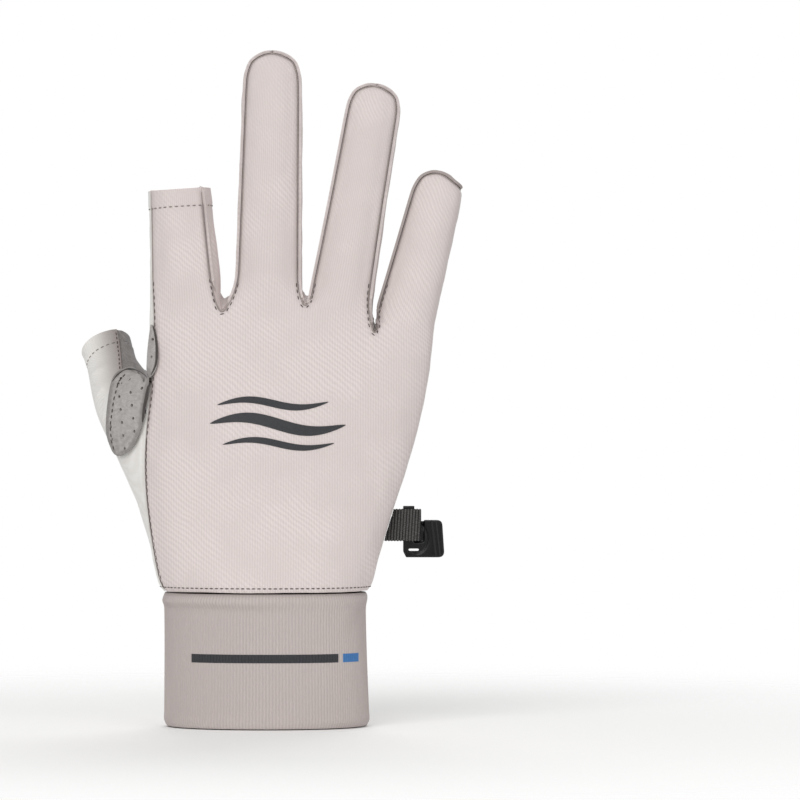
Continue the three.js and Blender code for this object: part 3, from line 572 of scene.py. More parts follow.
def cloth_map(points: Array, side: Side) -> Array:
    """Flat cloth coordinates: across and along the cut, following each finger.

    Args:
        points: Places, one a row.
        side: The panel's side.

    Returns:
        Two numbers a row, in metres.
    """
    if side is Side.THUMB:
        axis = np.array(THUMB_AXIS)
        hem = np.array(THUMB_HEM)
        along_tip = (points - hem) @ axis
        blend = smoothstep(-45 * MM, -5 * MM, along_tip)
        across_axis = np.array([0.93, 0.0, 0.37])
        low = np.stack([points[:, 0] * 0.9 + points[:, 1] * 0.5, points[:, 2]], axis=1)
        high = np.stack([(points - hem) @ across_axis, along_tip + 0.1], axis=1)
        return low * (1 - blend)[:, None] + high * blend[:, None]
    across = points[:, 0].copy()
    along = points[:, 2].copy()
    nearest = np.full(len(points), np.inf)
    depth = np.full(len(points), 12 * MM)
    on_finger = np.zeros(len(points))
    for finger in FINGERS:
        a, b = finger.local(points)
        inside = (b > -8 * MM) & (np.abs(a) < nearest) & (np.abs(a) < 16 * MM)
        nearest[inside] = np.abs(a)[inside]
        w = smoothstep(-8 * MM, 10 * MM, b)
        across[inside] = (points[:, 0] * (1 - w) + (a + finger.root_x) * w)[inside]
        along[inside] = (points[:, 2] * (1 - w) + (b + finger.root_z) * w)[inside]
        depth[inside] = finger.half_depth
        on_finger[inside] = w[inside]
    centre = np.zeros(len(points))
    for finger in FINGERS:
        a, b = finger.local(points)
        near = (b > 0) & (np.abs(a) <= nearest + 1e-9)
        centre[near] = finger.root_x
    if side is Side.EDGE:
        return np.stack([points[:, 1] * 1.0 + across * 0.3, along], axis=1)
    lean = np.tanh((across - centre) / (5 * MM))
    away = points[:, 1] + depth if side is Side.BACK else depth - points[:, 1]
    return np.stack([across + lean * away * 0.7 * on_finger, along], axis=1)


@dataclass
class SeamLine:
    """A run of seam: its points, the outward directions there and the way into the panel."""

    points: list[Vector] = field(default_factory=list)
    normals: list[Vector] = field(default_factory=list)
    inward: list[Vector] = field(default_factory=list)

    def add(self, point: Vector, normal: Vector, inward: Vector) -> None:
        """Adds a place at the end of the run."""
        self.points.append(point)
        self.normals.append(normal)
        self.inward.append(inward)

    def parts_below(self, height: float) -> list["SeamLine"]:
        """The unbroken parts of the run that lie below a height."""
        parts = [SeamLine()]
        for point, normal, inward in zip(self.points, self.normals, self.inward):
            if point.z < height:
                parts[-1].add(point, normal, inward)
            elif parts[-1].points:
                parts.append(SeamLine())
        return parts


def index_places(places: Array) -> KDTree:
    """A search tree of places."""
    tree = KDTree(len(places))
    for k, place in enumerate(places):
        tree.insert(place, k)
    tree.balance()
    return tree


def relax(line: Array, closed: bool, rounds: int = 4) -> Array:
    """Evens out a line of places; the ends of an open one stay."""
    for _ in range(rounds):
        even = line * 0.5 + (np.roll(line, 1, axis=0) + np.roll(line, -1, axis=0)) * 0.25
        if not closed:
            even[0], even[-1] = line[0], line[-1]
        line = even
    return line


def outer_face(node: str, thickest_wall: float = 1.95 * MM) -> Shape:
    """Copies a thin-walled solid and keeps its outer face alone, as four-sided faces.

    Args:
        node: The solid.
        thickest_wall: No wall of it is thicker.

    Returns:
        An open sheet.
    """
    sheet = shape_of(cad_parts[node].data)
    bmesh.ops.remove_doubles(sheet, verts=sheet.verts, dist=2e-6)
    sheet.normal_update()
    tree = BVHTree.FromBMesh(sheet)
    left = set()
    skin = 1e-5
    farthest = 20 * MM
    facing_away = -0.7
    for f in sheet.faces:
        hit = tree.ray_cast(f.calc_center_median() - f.normal * skin, -f.normal, farthest)
        if hit[0] is not None and hit[3] < thickest_wall and hit[1].dot(f.normal) < facing_away:
            left.add(f)
    groups = []
    while left:
        todo = [left.pop()]
        group = list(todo)
        while todo:
            for edge in todo.pop().edges:
                for other in edge.link_faces:
                    if other in left:
                        left.remove(other)
                        todo.append(other)
                        group.append(other)
        groups.append(group)
    kept = set(max(groups, key=lambda g: sum(f.calc_area() for f in g)))
    bmesh.ops.delete(sheet, geom=[f for f in sheet.faces if f not in kept], context="FACES")
    flat_enough = math.radians(60)
    bmesh.ops.join_triangles(
        sheet, faces=sheet.faces[:], angle_face_threshold=flat_enough, angle_shape_threshold=flat_enough
    )
    return sheet


def round_off(piece: Piece, levels: int) -> None:
    """Subdivides a sheet smoothly and keeps its corners."""
    apply_modifier(piece, "SUBSURF", levels=levels, render_levels=levels, boundary_smooth="PRESERVE_CORNERS")


def thicken(piece: Piece, wall: float) -> None:
    """Gives a sheet its wall, inwards."""
    apply_modifier(piece, "SOLIDIFY", thickness=wall, offset=-1, use_quality_normals=True)


def write_map(mesh: bpy.types.Mesh, flat: Array) -> None:
    """Writes flat coordinates, one pair a vertex, as the cloth map."""
    layer = mesh.uv_layers.get("cloth") or mesh.uv_layers.new(name="cloth")
    corners = np.empty(len(mesh.loops), dtype=np.int32)
    mesh.loops.foreach_get("vertex_index", corners)
    layer.data.foreach_set("uv", flat[corners].astype(np.float32).ravel())


@dataclass
class ClothPanel:
    """One cut panel of the glove, from its solid's outer face to a finished cloth."""

    node: str
    piece_name: str
    finish: Finish
    slot: str
    side: Side
    wall: float
    levels: int = 3
    firm: bool = False
    seam_depth: float = 0.4 * MM
    seam_reach: float = 1.0 * MM
    piece: Optional[Piece] = None
    border: Optional[Array] = None
    goal: Optional[Array] = None
    border_normals: Optional[Array] = None
    meet: Optional[Array] = None
    shared_normals: Optional[Array] = None
    holes: bool = False
    seams: list[SeamLine] = field(default_factory=list)

    def is_hem(self, point: Vector) -> bool:
        """True where a border point lies at an open end or at the cuff, and on no seam."""
        at_index = point.z > INDEX_HEM_TOP - 1.2 * MM and point.x < INDEX_RIGHT
        over_thumb = (point - THUMB_HEM).dot(THUMB_AXIS) > -0.9 * MM
        at_thumb = over_thumb and point.z > 120 * MM and point.x < THUMB_RIGHT
        return at_index or at_thumb or point.z < CUFF_TOP + 0.5 * MM

    def read_border(self) -> None:
        """Finds the seam runs on the smooth sheet's border, and the even line that each should follow."""
        sheet = shape_of(self.piece.data)
        sheet.normal_update()
        edges = {e for e in sheet.edges if len(e.link_faces) == 1}
        dense, goals, directions = [], [], []
        while edges:
            first = min(edges, key=lambda e: e.index)
            edges.remove(first)
            loop = [first.link_loops[0].vert, first.link_loops[0].link_loop_next.vert]
            beside = [first.link_faces[0]]
            while True:
                onward = [e for e in loop[-1].link_edges if e in edges]
                if not onward:
                    break
                edges.remove(onward[0])
                beside.append(onward[0].link_faces[0])
                loop.append(onward[0].other_vert(loop[-1]))
            loop.pop()
            hems = [k for k, vert in enumerate(loop) if self.is_hem(vert.co)]
            turn = hems[0] if hems else 0
            loop = loop[turn:] + loop[:turn]
            beside = beside[turn:] + beside[:turn]
            run = SeamLine()
            runs = [run]
            for vert, cloth in zip(loop, beside):
                if self.is_hem(vert.co):
                    run = SeamLine()
                    runs.append(run)
                    continue
                inward = (cloth.calc_center_median() - vert.co).normalized()
                run.add(vert.co.copy(), vert.normal.copy(), inward)
            for run in runs:
                if len(run.points) < 4:
                    continue
                self.seams.append(run)
                goal = relax(np.array(run.points), not hems)
                for k in range(len(run.points) - bool(hems)):
                    n = (k + 1) % len(run.points)
                    for share in (0, 0.25, 0.5, 0.75):
                        dense.append(run.points[k].lerp(run.points[n], share))
                        goals.append(goal[k] * (1 - share) + goal[n] * share)
                        directions.append(run.normals[k].lerp(run.normals[n], share))
        sheet.free()
        self.border = np.array(dense)
        self.goal = np.array(goals)
        self.border_normals = np.array(directions)

    def start(self) -> None:
        """Makes the smooth open sheet and reads its seams."""
        self.piece = new_piece(self.piece_name, outer_face(self.node))
        round_off(self.piece, self.levels)
        self.read_border()

    def meet_neighbours(self, panels: list["ClothPanel"]) -> None:
        """Finds how far each border place moves to meet the panel sewn to it, and the direction they share.

        Args:
            panels: All the panels.
        """
        others = [p for p in panels if p is not self]
        places = np.concatenate([p.goal for p in others])
        normals = np.concatenate([p.border_normals for p in others])
        firm = np.concatenate([np.full(len(p.border), p.firm) for p in others])
        tree = index_places(places)
        farthest_seam = 2.6 * MM
        half_way, all_the_way = 0.49, 0.98
        self.meet = self.goal - self.border
        shared = self.border_normals.copy()
        for k, place in enumerate(self.goal):
            found, index, distance = tree.find(place)
            if distance > farthest_seam:
                continue
            share = half_way if firm[index] == self.firm else all_the_way * (not self.firm)
            self.meet[k] += (np.array(found) - place) * share
            shared[k] += normals[index]
        self.shared_normals = shared / np.linalg.norm(shared, axis=1)[:, None]

    def nearest_seam(self, points: Array) -> tuple[Array, Array]:
        """The number of the nearest border place, and its distance, for each point."""
        tree = index_places(self.border)
        found = [tree.find(p)[1:] for p in points]
        return np.array([f[0] for f in found]), np.array([f[1] for f in found])

    def shape_cloth(self) -> None:
        """Moves the smooth sheet to cloth: closed sunk seams, puckers, soft unevenness, folds and hems."""
        points = vertex_array(self.piece.data)
        normals = normal_array(self.piece.data)
        index, distance = self.nearest_seam(points)
        pull = bell(distance, 1.5 * MM)[:, None]
        normals = normals * (1 - pull) + self.shared_normals[index] * pull
        normals /= np.linalg.norm(normals, axis=1)[:, None]
        sunk = -self.seam_depth * bell(distance, self.seam_reach)
        shoulder = 0.12 * MM * bell(distance - 2.1 * MM, 1.1 * MM)
        near = bell(distance, 3.2 * MM) * smoothstep(0.3 * MM, 1.2 * MM, distance)
        pucker = 0.12 * MM * near * ripple(points, 2.4 * MM, PUCKER_SEED)
        wide = 0.16 * MM * ripple(points, 13 * MM, WIDE_SEED)
        soft = wide + 0.06 * MM * ripple(points, 5 * MM, FINE_SEED)
        inside = smoothstep(0.5 * MM, 3.5 * MM, distance)
        move = sunk + shoulder + pucker + (soft + fold_field(points)) * inside + hem_field(points)
        points = points + self.meet[index] * pull + normals * move[:, None]
        if self.node.startswith("finger_gusset"):
            points = round_tips(points)
        set_vertices(self.piece.data, points)

    def map_cloth(self) -> None:
        """Writes the cloth map and the seam value on the finished mesh: seam darkening that is part real and
        part painted shade, painted shadow on the thumb's upper back near the crotch, and painted shade on the
        little-finger side of the last side strip.
        """
        points = vertex_array(self.piece.data)
        write_map(self.piece.data, cloth_map(points, self.side))
        distance = self.nearest_seam(points)[1]
        # Darker near every seam: part the seam's own tone, part painted shade in its groove.
        tone = 0.5 * bell(distance, 0.7 * MM)
        # Painted shadow: the thumb's upper back near the crotch with the index finger is darkened towards the
        # seam colour, as cloth turned away from the light.
        if self.node == "thumb_back_panel":
            slope = 0.25
            across = points[:, 0] + (points[:, 2] - 125 * MM) * slope
            crook_painted_shadow = smoothstep(-64 * MM, -51 * MM, across) * smoothstep(110 * MM, 124 * MM, points[:, 2])
            on_back = points[:, 1] < 40 * MM
            tone = np.maximum(tone, crook_painted_shadow * on_back)
        # Painted shade: the little-finger side of this strip is darkened as cloth lying in shadow.
        if self.node == "finger_gusset_3":
            little_side_painted_shade = FINGERS[3].local(points)[0] > -13 * MM
            tone = np.maximum(tone, 0.8 * little_side_painted_shade)
        set_attribute(self.piece.data, "seam", tone)

    def finish_piece(self) -> None:
        """Gives the shaped sheet its wall, its maps and its finish."""
        places = perforation_places(self) if self.holes else []
        thicken(self.piece, self.wall)
        if places:
            punch(self.piece, places, self.wall)
        shade(self.piece)
        self.map_cloth()
        dress(self.piece, self.finish, self.slot, self.node)


def round_tips(points: Array) -> Array:
    """Presses the pointed ends of the side strips to a round fingertip and draws the two ends together."""
    top = 1.8 * MM
    half_gap = 0.3 * MM
    flattening = 0.62
    half_width, tip_start = 8 * MM, 45 * MM
    for finger in FINGERS[1:]:
        across, along = finger.local(points)
        on_tip = (np.abs(across) < half_width) & (along > tip_start)
        if not on_tip.any():
            continue
        over = np.where(on_tip, np.maximum(along - along[on_tip].max() + top, 0), 0)
        tilt = math.radians(finger.tilt_degrees)
        drop = flattening * over**2 / top
        inwards = np.sign(across) * np.minimum(np.abs(across), half_gap) * smoothstep(0, top, over)
        length = np.array([math.sin(tilt), 0, math.cos(tilt)])
        width = np.array([math.cos(tilt), 0, -math.sin(tilt)])
        points = points - drop[:, None] * length - inwards[:, None] * width
    return points


HOLE_RADIUS = 0.6 * MM
HOLE_SIDES = 10
HOLE_PITCH = 7.05 * MM
HOLE_ROW = 3.6 * MM
CORD_RADIUS = 0.3 * MM
CORD_DEPTH = 0.44 * MM
CORD_CLEARANCE = 1.0 * MM


def perforation_places(panel: ClothPanel) -> list[tuple[Vector, Vector]]:
    """Places and outward directions of a panel's perforations: staggered rows on its cloth map.

    Args:
        panel: The panel, as a shaped sheet.

    Returns:
        One pair a hole, none near a seam or a hem.
    """
    mesh = panel.piece.data
    mesh.calc_loop_triangles()
    points = vertex_array(mesh)
    flat = cloth_map(points, panel.side)
    corners = np.array([t.vertices for t in mesh.loop_triangles])
    middles = flat[corners].mean(axis=1)
    tree = index_places(np.column_stack([middles, np.zeros(len(middles))]))
    edge = panel.nearest_seam(points)[1]
    low, high = flat.min(axis=0), flat.max(axis=0)
    found = []
    tries = 6
    seam_clear = 1.5 * MM
    for row in range(int(low[1] / HOLE_ROW), int(high[1] / HOLE_ROW) + 1):
        shift = 0.5 * (row % 2)
        for column in range(int(low[0] / HOLE_PITCH) - 1, int(high[0] / HOLE_PITCH) + 2):
            spot = Vector(((column + shift) * HOLE_PITCH, row * HOLE_ROW))
            for _, k, _ in tree.find_n(spot.to_3d(), tries):
                a, b, c = corners[k]
                if not intersect_point_tri_2d(spot, Vector(flat[a]), Vector(flat[b]), Vector(flat[c])):
                    continue
                ends = [Vector(flat[n]).to_3d() for n in (a, b, c)]
                solid = [Vector(points[n]) for n in (a, b, c)]
                place = barycentric_transform(spot.to_3d(), *ends, *solid)
                clear = edge[corners[k]].min() > seam_clear and hem_clear(place)
                if clear and place.z > CUFF_TOP + 2 * MM:
                    found.append((place, (solid[1] - solid[0]).cross(solid[2] - solid[0]).normalized()))
                break
    return found


def hem_clear(place: Vector) -> bool:
    """True away from the open ends of the index finger and the thumb."""
    along = FINGERS[0].local(np.array([place]))[1][0]
    clear = 1.3 * MM
    at_index = place.x < INDEX_RIGHT and along > INDEX_HEM_TOP - FINGERS[0].root_z - clear
    at_thumb = place.x < THUMB_RIGHT and (place - THUMB_HEM).dot(THUMB_AXIS) > -clear
    return not (at_index or at_thumb)


def punch(piece: Piece, places: list[tuple[Vector, Vector]], wall: float) -> None:
    """Cuts round holes through a thickened piece.

    Args:
        piece: The piece.
        places: Middles and outward directions of the holes.
        wall: The piece's wall.
    """
    rods = bmesh.new()
    bmesh.ops.create_cone(
        rods, cap_ends=True, segments=HOLE_SIDES, radius1=HOLE_RADIUS, radius2=HOLE_RADIUS, depth=1.0
    )
    rod_mesh = bpy.data.meshes.new("rod")
    rods.to_mesh(rod_mesh)
    rods.clear()
    for place, out in places:
        turn = out.to_track_quat("Z", "Y").to_matrix().to_4x4()
        stamp(rods, rod_mesh, place - out * wall / 2, turn, (1, 1, wall * 2.4))
    bpy.data.meshes.remove(rod_mesh)
    combine(piece, new_piece("punch_rods", rods), "DIFFERENCE")
    log.info("%s: %d holes", piece.name, len(places))


def combine(piece: Piece, tool: Piece, operation: str) -> None:
    """Cuts or trims a piece with a tool object, which goes."""
    apply_modifier(piece, "BOOLEAN", operation=operation, solver="MANIFOLD", object=tool)
    bpy.data.objects.remove(tool)


def add_cords(shape: Shape, lines: list, radius: float, tapered: bool = False) -> None:
    """Adds thin closed round cords to a shape.

    Args:
        shape: The shape.
        lines: The places that each cord follows.
        radius: The cords' radius.
        tapered: True for cords that thin out to their ends.
    """
    data = bpy.data.curves.new("cord", "CURVE")
    data.dimensions = "3D"
    data.bevel_depth = radius
    data.bevel_resolution = 2
    data.use_fill_caps = True
    for places in lines:
        line = data.splines.new("POLY")
        line.points.add(len(places) - 1)
        for k, (point, place) in enumerate(zip(line.points, places)):
            point.co = (*place, 1)
            if tapered:
                point.radius = 0.35 + 0.65 * math.sin(math.pi * k / (len(places) - 1)) ** 0.5
    cord = bpy.data.objects.new("cord", data)
    bpy.context.scene.collection.objects.link(cord)
    mesh = bpy.data.meshes.new_from_object(cord.evaluated_get(bpy.context.evaluated_depsgraph_get()))
    bpy.data.objects.remove(cord)
    shape.from_mesh(mesh)
    bpy.data.meshes.remove(mesh)
    bmesh.ops.remove_doubles(shape, verts=shape.verts, dist=1e-6)
    bmesh.ops.recalc_face_normals(shape, faces=shape.faces)


def dress_shape(name: str, shape: Shape, sharp: float, finish: Finish, slot: str) -> None:
    """Makes a dressed piece of a shape that stands for no solid."""
    piece = new_piece(name, shape)
    shade(piece, sharp)
    dress(piece, finish, slot)


def seam_cords(panels: list[ClothPanel]) -> None:
    """Fills every sewn groove with the overlocked edge that shows in it, as a thin closed cord.

    Args:
        panels: The shaped panels, leading ones first.
    """
    lines = []
    done: list[Array] = []
    for panel in panels:
        taken = index_places(np.array(done)) if done else None
        for run in panel.seams:
            index = panel.nearest_seam(np.array(run.points))[0]
            places = np.array(run.points) + panel.meet[index] - panel.shared_normals[index] * CORD_DEPTH
            if panel.node.startswith("finger_gusset"):
                places = round_tips(places)
            keep = [p for p in places if taken is None or taken.find(p)[2] > CORD_CLEARANCE]
            done.extend(places)
            if len(keep) >= 4:
                lines.append(keep)
    cords = bmesh.new()
    add_cords(cords, lines, CORD_RADIUS)
    dress_shape("seam_cords", cords, 60, Finish.SEAM_CORD, "light_knit")


@dataclass(frozen=True)
class Fold:
    """A soft fold of the cloth: a ridge or a groove from one place to another."""

    start: tuple[float, float, float]
    end: tuple[float, float, float]
    width: float
    height: float


FOLDS = (
    Fold((-66.5, 22, 121.5), (-57.5, 12, 128.0), 1.6, 0.55),
    Fold((-66.0, 22, 118.5), (-58.0, 10, 122.0), 1.3, -0.5),
    Fold((-63.5, 18, 113.0), (-58.5, 9, 119.5), 1.2, 0.5),
    Fold((-62.0, 17, 108.0), (-57.8, 9, 116.0), 1.1, -0.45),
    Fold((-60.5, 16, 103.0), (-57.6, 9, 112.0), 1.1, 0.5),
    Fold((-58.6, 15, 97.5), (-56.6, 9, 104.5), 1.1, -0.4),
    Fold((-56.0, 13, 91.0), (-52.5, 5, 93.5), 1.3, 0.45),
    Fold((-54.0, 12, 87.5), (-50.0, 3, 91.0), 1.3, -0.4),
)


def fold_field(points: Array) -> Array:
    """Height of all folds at each place."""
    total = np.zeros(len(points))
    for fold in FOLDS:
        share, away = beside_line(points, np.array(fold.start) * MM, np.array(fold.end) * MM)
        fade = np.sin(math.pi * np.clip(share * 0.9 + 0.05, 0, 1))
        total += 1.6 * fold.height * MM * fade * bell(away, fold.width * MM)
    return total


def hem_field(points: Array) -> Array:
    """Height of the folded hems at the open index finger and thumb, with a groove under the stitches."""
    along = FINGERS[0].local(points)[1]
    hem_top = INDEX_HEM_TOP - FINGERS[0].root_z
    below_index = np.where(points[:, 0] < INDEX_RIGHT, hem_top - along, 1.0)
    on_thumb = (points[:, 0] < THUMB_RIGHT) & (points[:, 2] > 110 * MM)
    below_thumb = np.where(on_thumb, -((points - np.array(THUMB_HEM)) @ np.array(THUMB_AXIS)), 1.0)
    below = np.minimum(below_index, below_thumb)
    raised = 0.22 * MM * (1 - smoothstep(HEM_HEIGHT - 0.5 * MM, HEM_HEIGHT + 0.5 * MM, below))
    groove = -0.25 * MM * bell(below - HEM_HEIGHT, 0.5 * MM)
    return raised + groove


WRIST_HALF_WIDTH = 36 * MM
WRIST_HALF_DEPTH = 22.8 * MM
WRIST_RADIUS = 29.8 * MM


@dataclass
class Cuff:
    """The doubled rib-knit cuff: upright ribs, a gathered ridge under its seam and a rolled lower edge."""

    node: str = "cuff"
    wall: float = 1.6 * MM
    ribs: int = 192
    rib_height: float = 0.13 * MM

    def build(self) -> Piece:
        """Makes the cuff and returns it."""
        piece = new_piece("cuff_rib_knit", outer_face(self.node))
        round_off(piece, 2)
        sheet = shape_of(piece.data)
        level = [e for e in sheet.edges if abs(e.verts[0].co.z - e.verts[1].co.z) < e.calc_length() * 0.3]
        bmesh.ops.subdivide_edges(sheet, edges=level, cuts=3, use_grid_fill=True)
        sheet.to_mesh(piece.data)
        sheet.free()
        points = vertex_array(piece.data)
        normals = normal_array(piece.data)
        edge_fade = smoothstep(0, 3 * MM, points[:, 2]) * (1 - smoothstep(43.5 * MM, 46 * MM, points[:, 2]))
        ribs = self.rib_height * np.sin(wrist_angle(points) * self.ribs) * (0.25 + 0.75 * edge_fade)
        soft = 0.3 * MM * ripple(points, 22 * MM, CUFF_SEED, (1, 1, 2.2)) * edge_fade
        move = ribs + soft + self.gathers(points)
        set_vertices(piece.data, points + normals * move[:, None])
        thicken(piece, self.wall)
        shade(piece, 60)
        points = vertex_array(piece.data)
        write_map(piece.data, np.stack([wrist_angle(points) * WRIST_RADIUS, points[:, 2]], axis=1))
        # Darker along the top seam: part the seam's own tone, part painted shade in its groove.
        set_attribute(piece.data, "seam", bell(points[:, 2] - CUFF_TOP, 1.0 * MM))
        dress(piece, Finish.CUFF_KNIT, "light_knit", self.node)
        return piece

    def gathers(self, points: Array) -> Array:
        """Heights of the ridge under the seam, the fold at the right and the rolled edge."""
        x, y, z = points.T
        back = 1 - smoothstep(-6 * MM, 2 * MM, y)
        ridge_z = 44.6 * MM - 0.9 * MM * smoothstep(-30 * MM, 0, x)
        ridge_fade = 1 - smoothstep(-12 * MM, 22 * MM, x)
        ridge = 0.55 * MM * ridge_fade * bell(z - ridge_z, 1.3 * MM)
        under = -0.4 * MM * ridge_fade * bell(z - ridge_z + 3.0 * MM, 1.4 * MM)
        flat = points * np.array([1, 0, 1])
        share, away = beside_line(flat, np.array([37.5, 0, 45.0]) * MM, np.array([25.5, 0, 30.0]) * MM)
        fold = -0.5 * MM * (1 - share) * bell(away, 1.6 * MM) * back
        roll = 0.25 * MM * bell(z - 2.4 * MM, 1.5 * MM)
        seam = -0.35 * MM * bell(z - CUFF_TOP + 0.2 * MM, 0.7 * MM)
        return (ridge + under) * back + fold + roll + seam


def wrist_angle(points: Array) -> Array:
    """Angle round the oval wrist of each place."""
    return np.arctan2(points[:, 1] / WRIST_HALF_DEPTH, points[:, 0] / WRIST_HALF_WIDTH)


PATCH_OUTLINE = (
    (-55.5, 123), (-53, 125.9), (-49, 127.5), (-44.9, 127.7), (-42.1, 125.1), (-41.2, 122.2), (-43.3, 112),
    (-44.1, 104.7), (-48.2, 97), (-54.3, 94.3), (-57.7, 101.8), (-57.7, 107.9), (-56.7, 116.1),
)
WING_OUTLINE = (
    (-40.6, 143.8), (-39.0, 138.5), (-38.2, 133.0), (-38.2, 128.0), (-39.4, 125.0), (-41.4, 122.6),
    (-42.6, 124.5), (-42.3, 131.7), (-41.6, 138.0),
)
PATCH_RIGHT_EDGE = (
    (-41.6, 121.0), (-42.3, 116.5), (-43.3, 112), (-43.7, 108), (-44.4, 104.2), (-46.0, 99.8), (-48.4, 96.6),
    (-50.8, 95.0),
)
WING_RIGHT_EDGE = (
    (-40.5, 142.6), (-39.3, 138.5), (-38.6, 133.0), (-38.7, 128.4), (-39.7, 125.6), (-41.0, 123.6),
)
PATCH_TOP_EDGE = (
    (-55.2, 121.8), (-53.2, 124.6), (-49.6, 126.6), (-45.6, 126.9), (-42.9, 124.9), (-42.0, 122.6),
)
PATCH_DASHES = (
    (-50.4, 124.6), (-52.9, 121.6), (-54.4, 115.6), (-55.3, 110), (-55.9, 105.9), (-55.5, 100.6),
    (-54.3, 96.6),
)
WING_HOLES = ((-40.2, 136.6), (-40.6, 130.4))


def prism(name: str, outline: tuple, rounds: int = 2) -> Piece:
    """A deep prism through the glove, over a rounded outline in the back view.

    Args:
        name: Object name.
        outline: x and z corners in mm.
        rounds: How often the corners are cut.

    Returns:
        The object.
    """
    places = [Vector(p) for p in outline]
    for _ in range(rounds):
        cut = []
        for a, b in zip(places, places[1:] + places[:1]):
            cut += [a.lerp(b, 0.25), a.lerp(b, 0.75)]
        places = cut
    shape = bmesh.new()
    verts = [shape.verts.new((x * MM, BEFORE_BACK, z * MM)) for x, z in places]
    bmesh.ops.contextual_create(shape, geom=verts)
    grown = bmesh.ops.extrude_face_region(shape, geom=shape.faces[:])["geom"]
    moved = [v for v in grown if isinstance(v, bmesh.types.BMVert)]
    bmesh.ops.translate(shape, verts=moved, vec=(0, -2 * BEFORE_BACK, 0))
    bmesh.ops.recalc_face_normals(shape, faces=shape.faces)
    return new_piece(name, shape)


@dataclass
class WebPatch:
    """The suede reinforcement in the thumb's web: two perforated lobes, raised edges darkened with painted
    shadow and a row of dashes.
    """

    node: str = "web_patch"
    voxel: float = 0.38 * MM
    hole_start: tuple[float, float] = (-44.6, 124.0)
    hole_across: tuple[float, float] = (-4.2, -1.5)
    hole_down: tuple[float, float] = (0.5, -4.6)

    def lobe(self, name: str, outline: tuple) -> Piece:
        """One lobe: the even copy of the solid within an outline."""
        piece = even_copy(self.node, name, self.voxel, 3)
        points = vertex_array(piece.data)
        soft = 0.1 * MM * ripple(points, 6 * MM, PATCH_SEED)
        set_vertices(piece.data, points + normal_array(piece.data) * soft[:, None])
        combine(piece, prism(f"{name}_outline", outline), "INTERSECT")
        return piece

    def build(self) -> None:
        """Makes both lobes, their edges and their stitches."""
        thumb = self.lobe("web_patch_thumb", PATCH_OUTLINE)
        wing = self.lobe("web_patch_wing", WING_OUTLINE)
        tree = surface_tree(thumb)
        wing_tree = surface_tree(wing)
        places = self.hole_places(tree)
        for x, z in WING_HOLES:
            line = front_line([wing_tree], [(x, z), (x, z - 0.1)])
            places += list(zip(line.points, line.normals))[:1]
        for piece in (thumb, wing):
            punch(piece, places, 2.0 * MM)
            shade(piece, 50)
            points = vertex_array(piece.data)
            write_map(piece.data, cloth_map(points, Side.THUMB))
            set_attribute(piece.data, "seam", self.edge_shade(points))
        dress(thumb, Finish.PATCH, "grey_suede", self.node)
        dress(wing, Finish.PATCH, "grey_suede")
        # Cords along the lobes' raised rolled edges; their dark colour is painted shadow.
        edges = (
            (PATCH_RIGHT_EDGE, tree, 0.62 * MM),
            (WING_RIGHT_EDGE, wing_tree, 0.5 * MM),
            (PATCH_TOP_EDGE, tree, 0.32 * MM),
        )
        cords = bmesh.new()
        for corners, surface, radius in edges:
            line = relax(np.array(front_line([surface], corners).points), False, 8)
            add_cords(cords, [line], radius, tapered=True)
        dress_shape("web_patch_painted_shadow_edge", cords, 60, Finish.PAINTED_SHADOW_EDGE, "grey_suede")
        dashes = bmesh.new()
        sewing = Stitches(pitch=2.3 * MM, length=1.5 * MM, radius=0.27 * MM)
        sewing.along_line(dashes, front_line([tree], PATCH_DASHES), 0.0, tree)
        dress_shape("web_patch_stitches", dashes, ALL_SMOOTH, Finish.THREAD, "grey_suede")

    def hole_places(self, tree: BVHTree) -> list[tuple[Vector, Vector]]:
        """Staggered places on the thumb lobe, clear of its outline."""
        found = []
        for column in range(-2, 6):
            for row in range(-2, 9):
                x = self.hole_start[0] + column * self.hole_across[0] + row * self.hole_down[0]
                z = self.hole_start[1] + column * self.hole_across[1] + row * self.hole_down[1]
                if self.inside(x * MM, z * MM) < 1.5 * MM:
                    continue
                hit = tree.ray_cast(Vector((x * MM, BEFORE_BACK, z * MM)), LOOK)
                if hit[0] is not None:
                    found.append((hit[0], hit[1]))
        return found

    def inside(self, x: float, z: float) -> float:
        """Distance from the thumb lobe's outline, positive inside, seen from the back."""
        place = Vector((x, z))
        ends = [Vector(p) * MM for p in PATCH_OUTLINE]
        nearest = 1.0
        crossings = 0
        for a, b in zip(ends, ends[1:] + ends[:1]):
            line = b - a
            share = min(max((place - a).dot(line) / line.length_squared, 0), 1)
            nearest = min(nearest, (a + line * share - place).length)
            if (a.y > z) != (b.y > z) and x < a.x + (z - a.y) / (b.y - a.y) * line.x:
                crossings += 1
        return nearest if crossings % 2 else -nearest

    def edge_shade(self, points: Array) -> Array:
        """A darker rim along the thumb lobe's outline, as seen from the back."""
        depth = np.array([self.inside(x, z) for x, z in points[:, (0, 2)]])
        return (1 - smoothstep(0.8 * MM, 1.9 * MM, np.abs(depth))) * 0.8


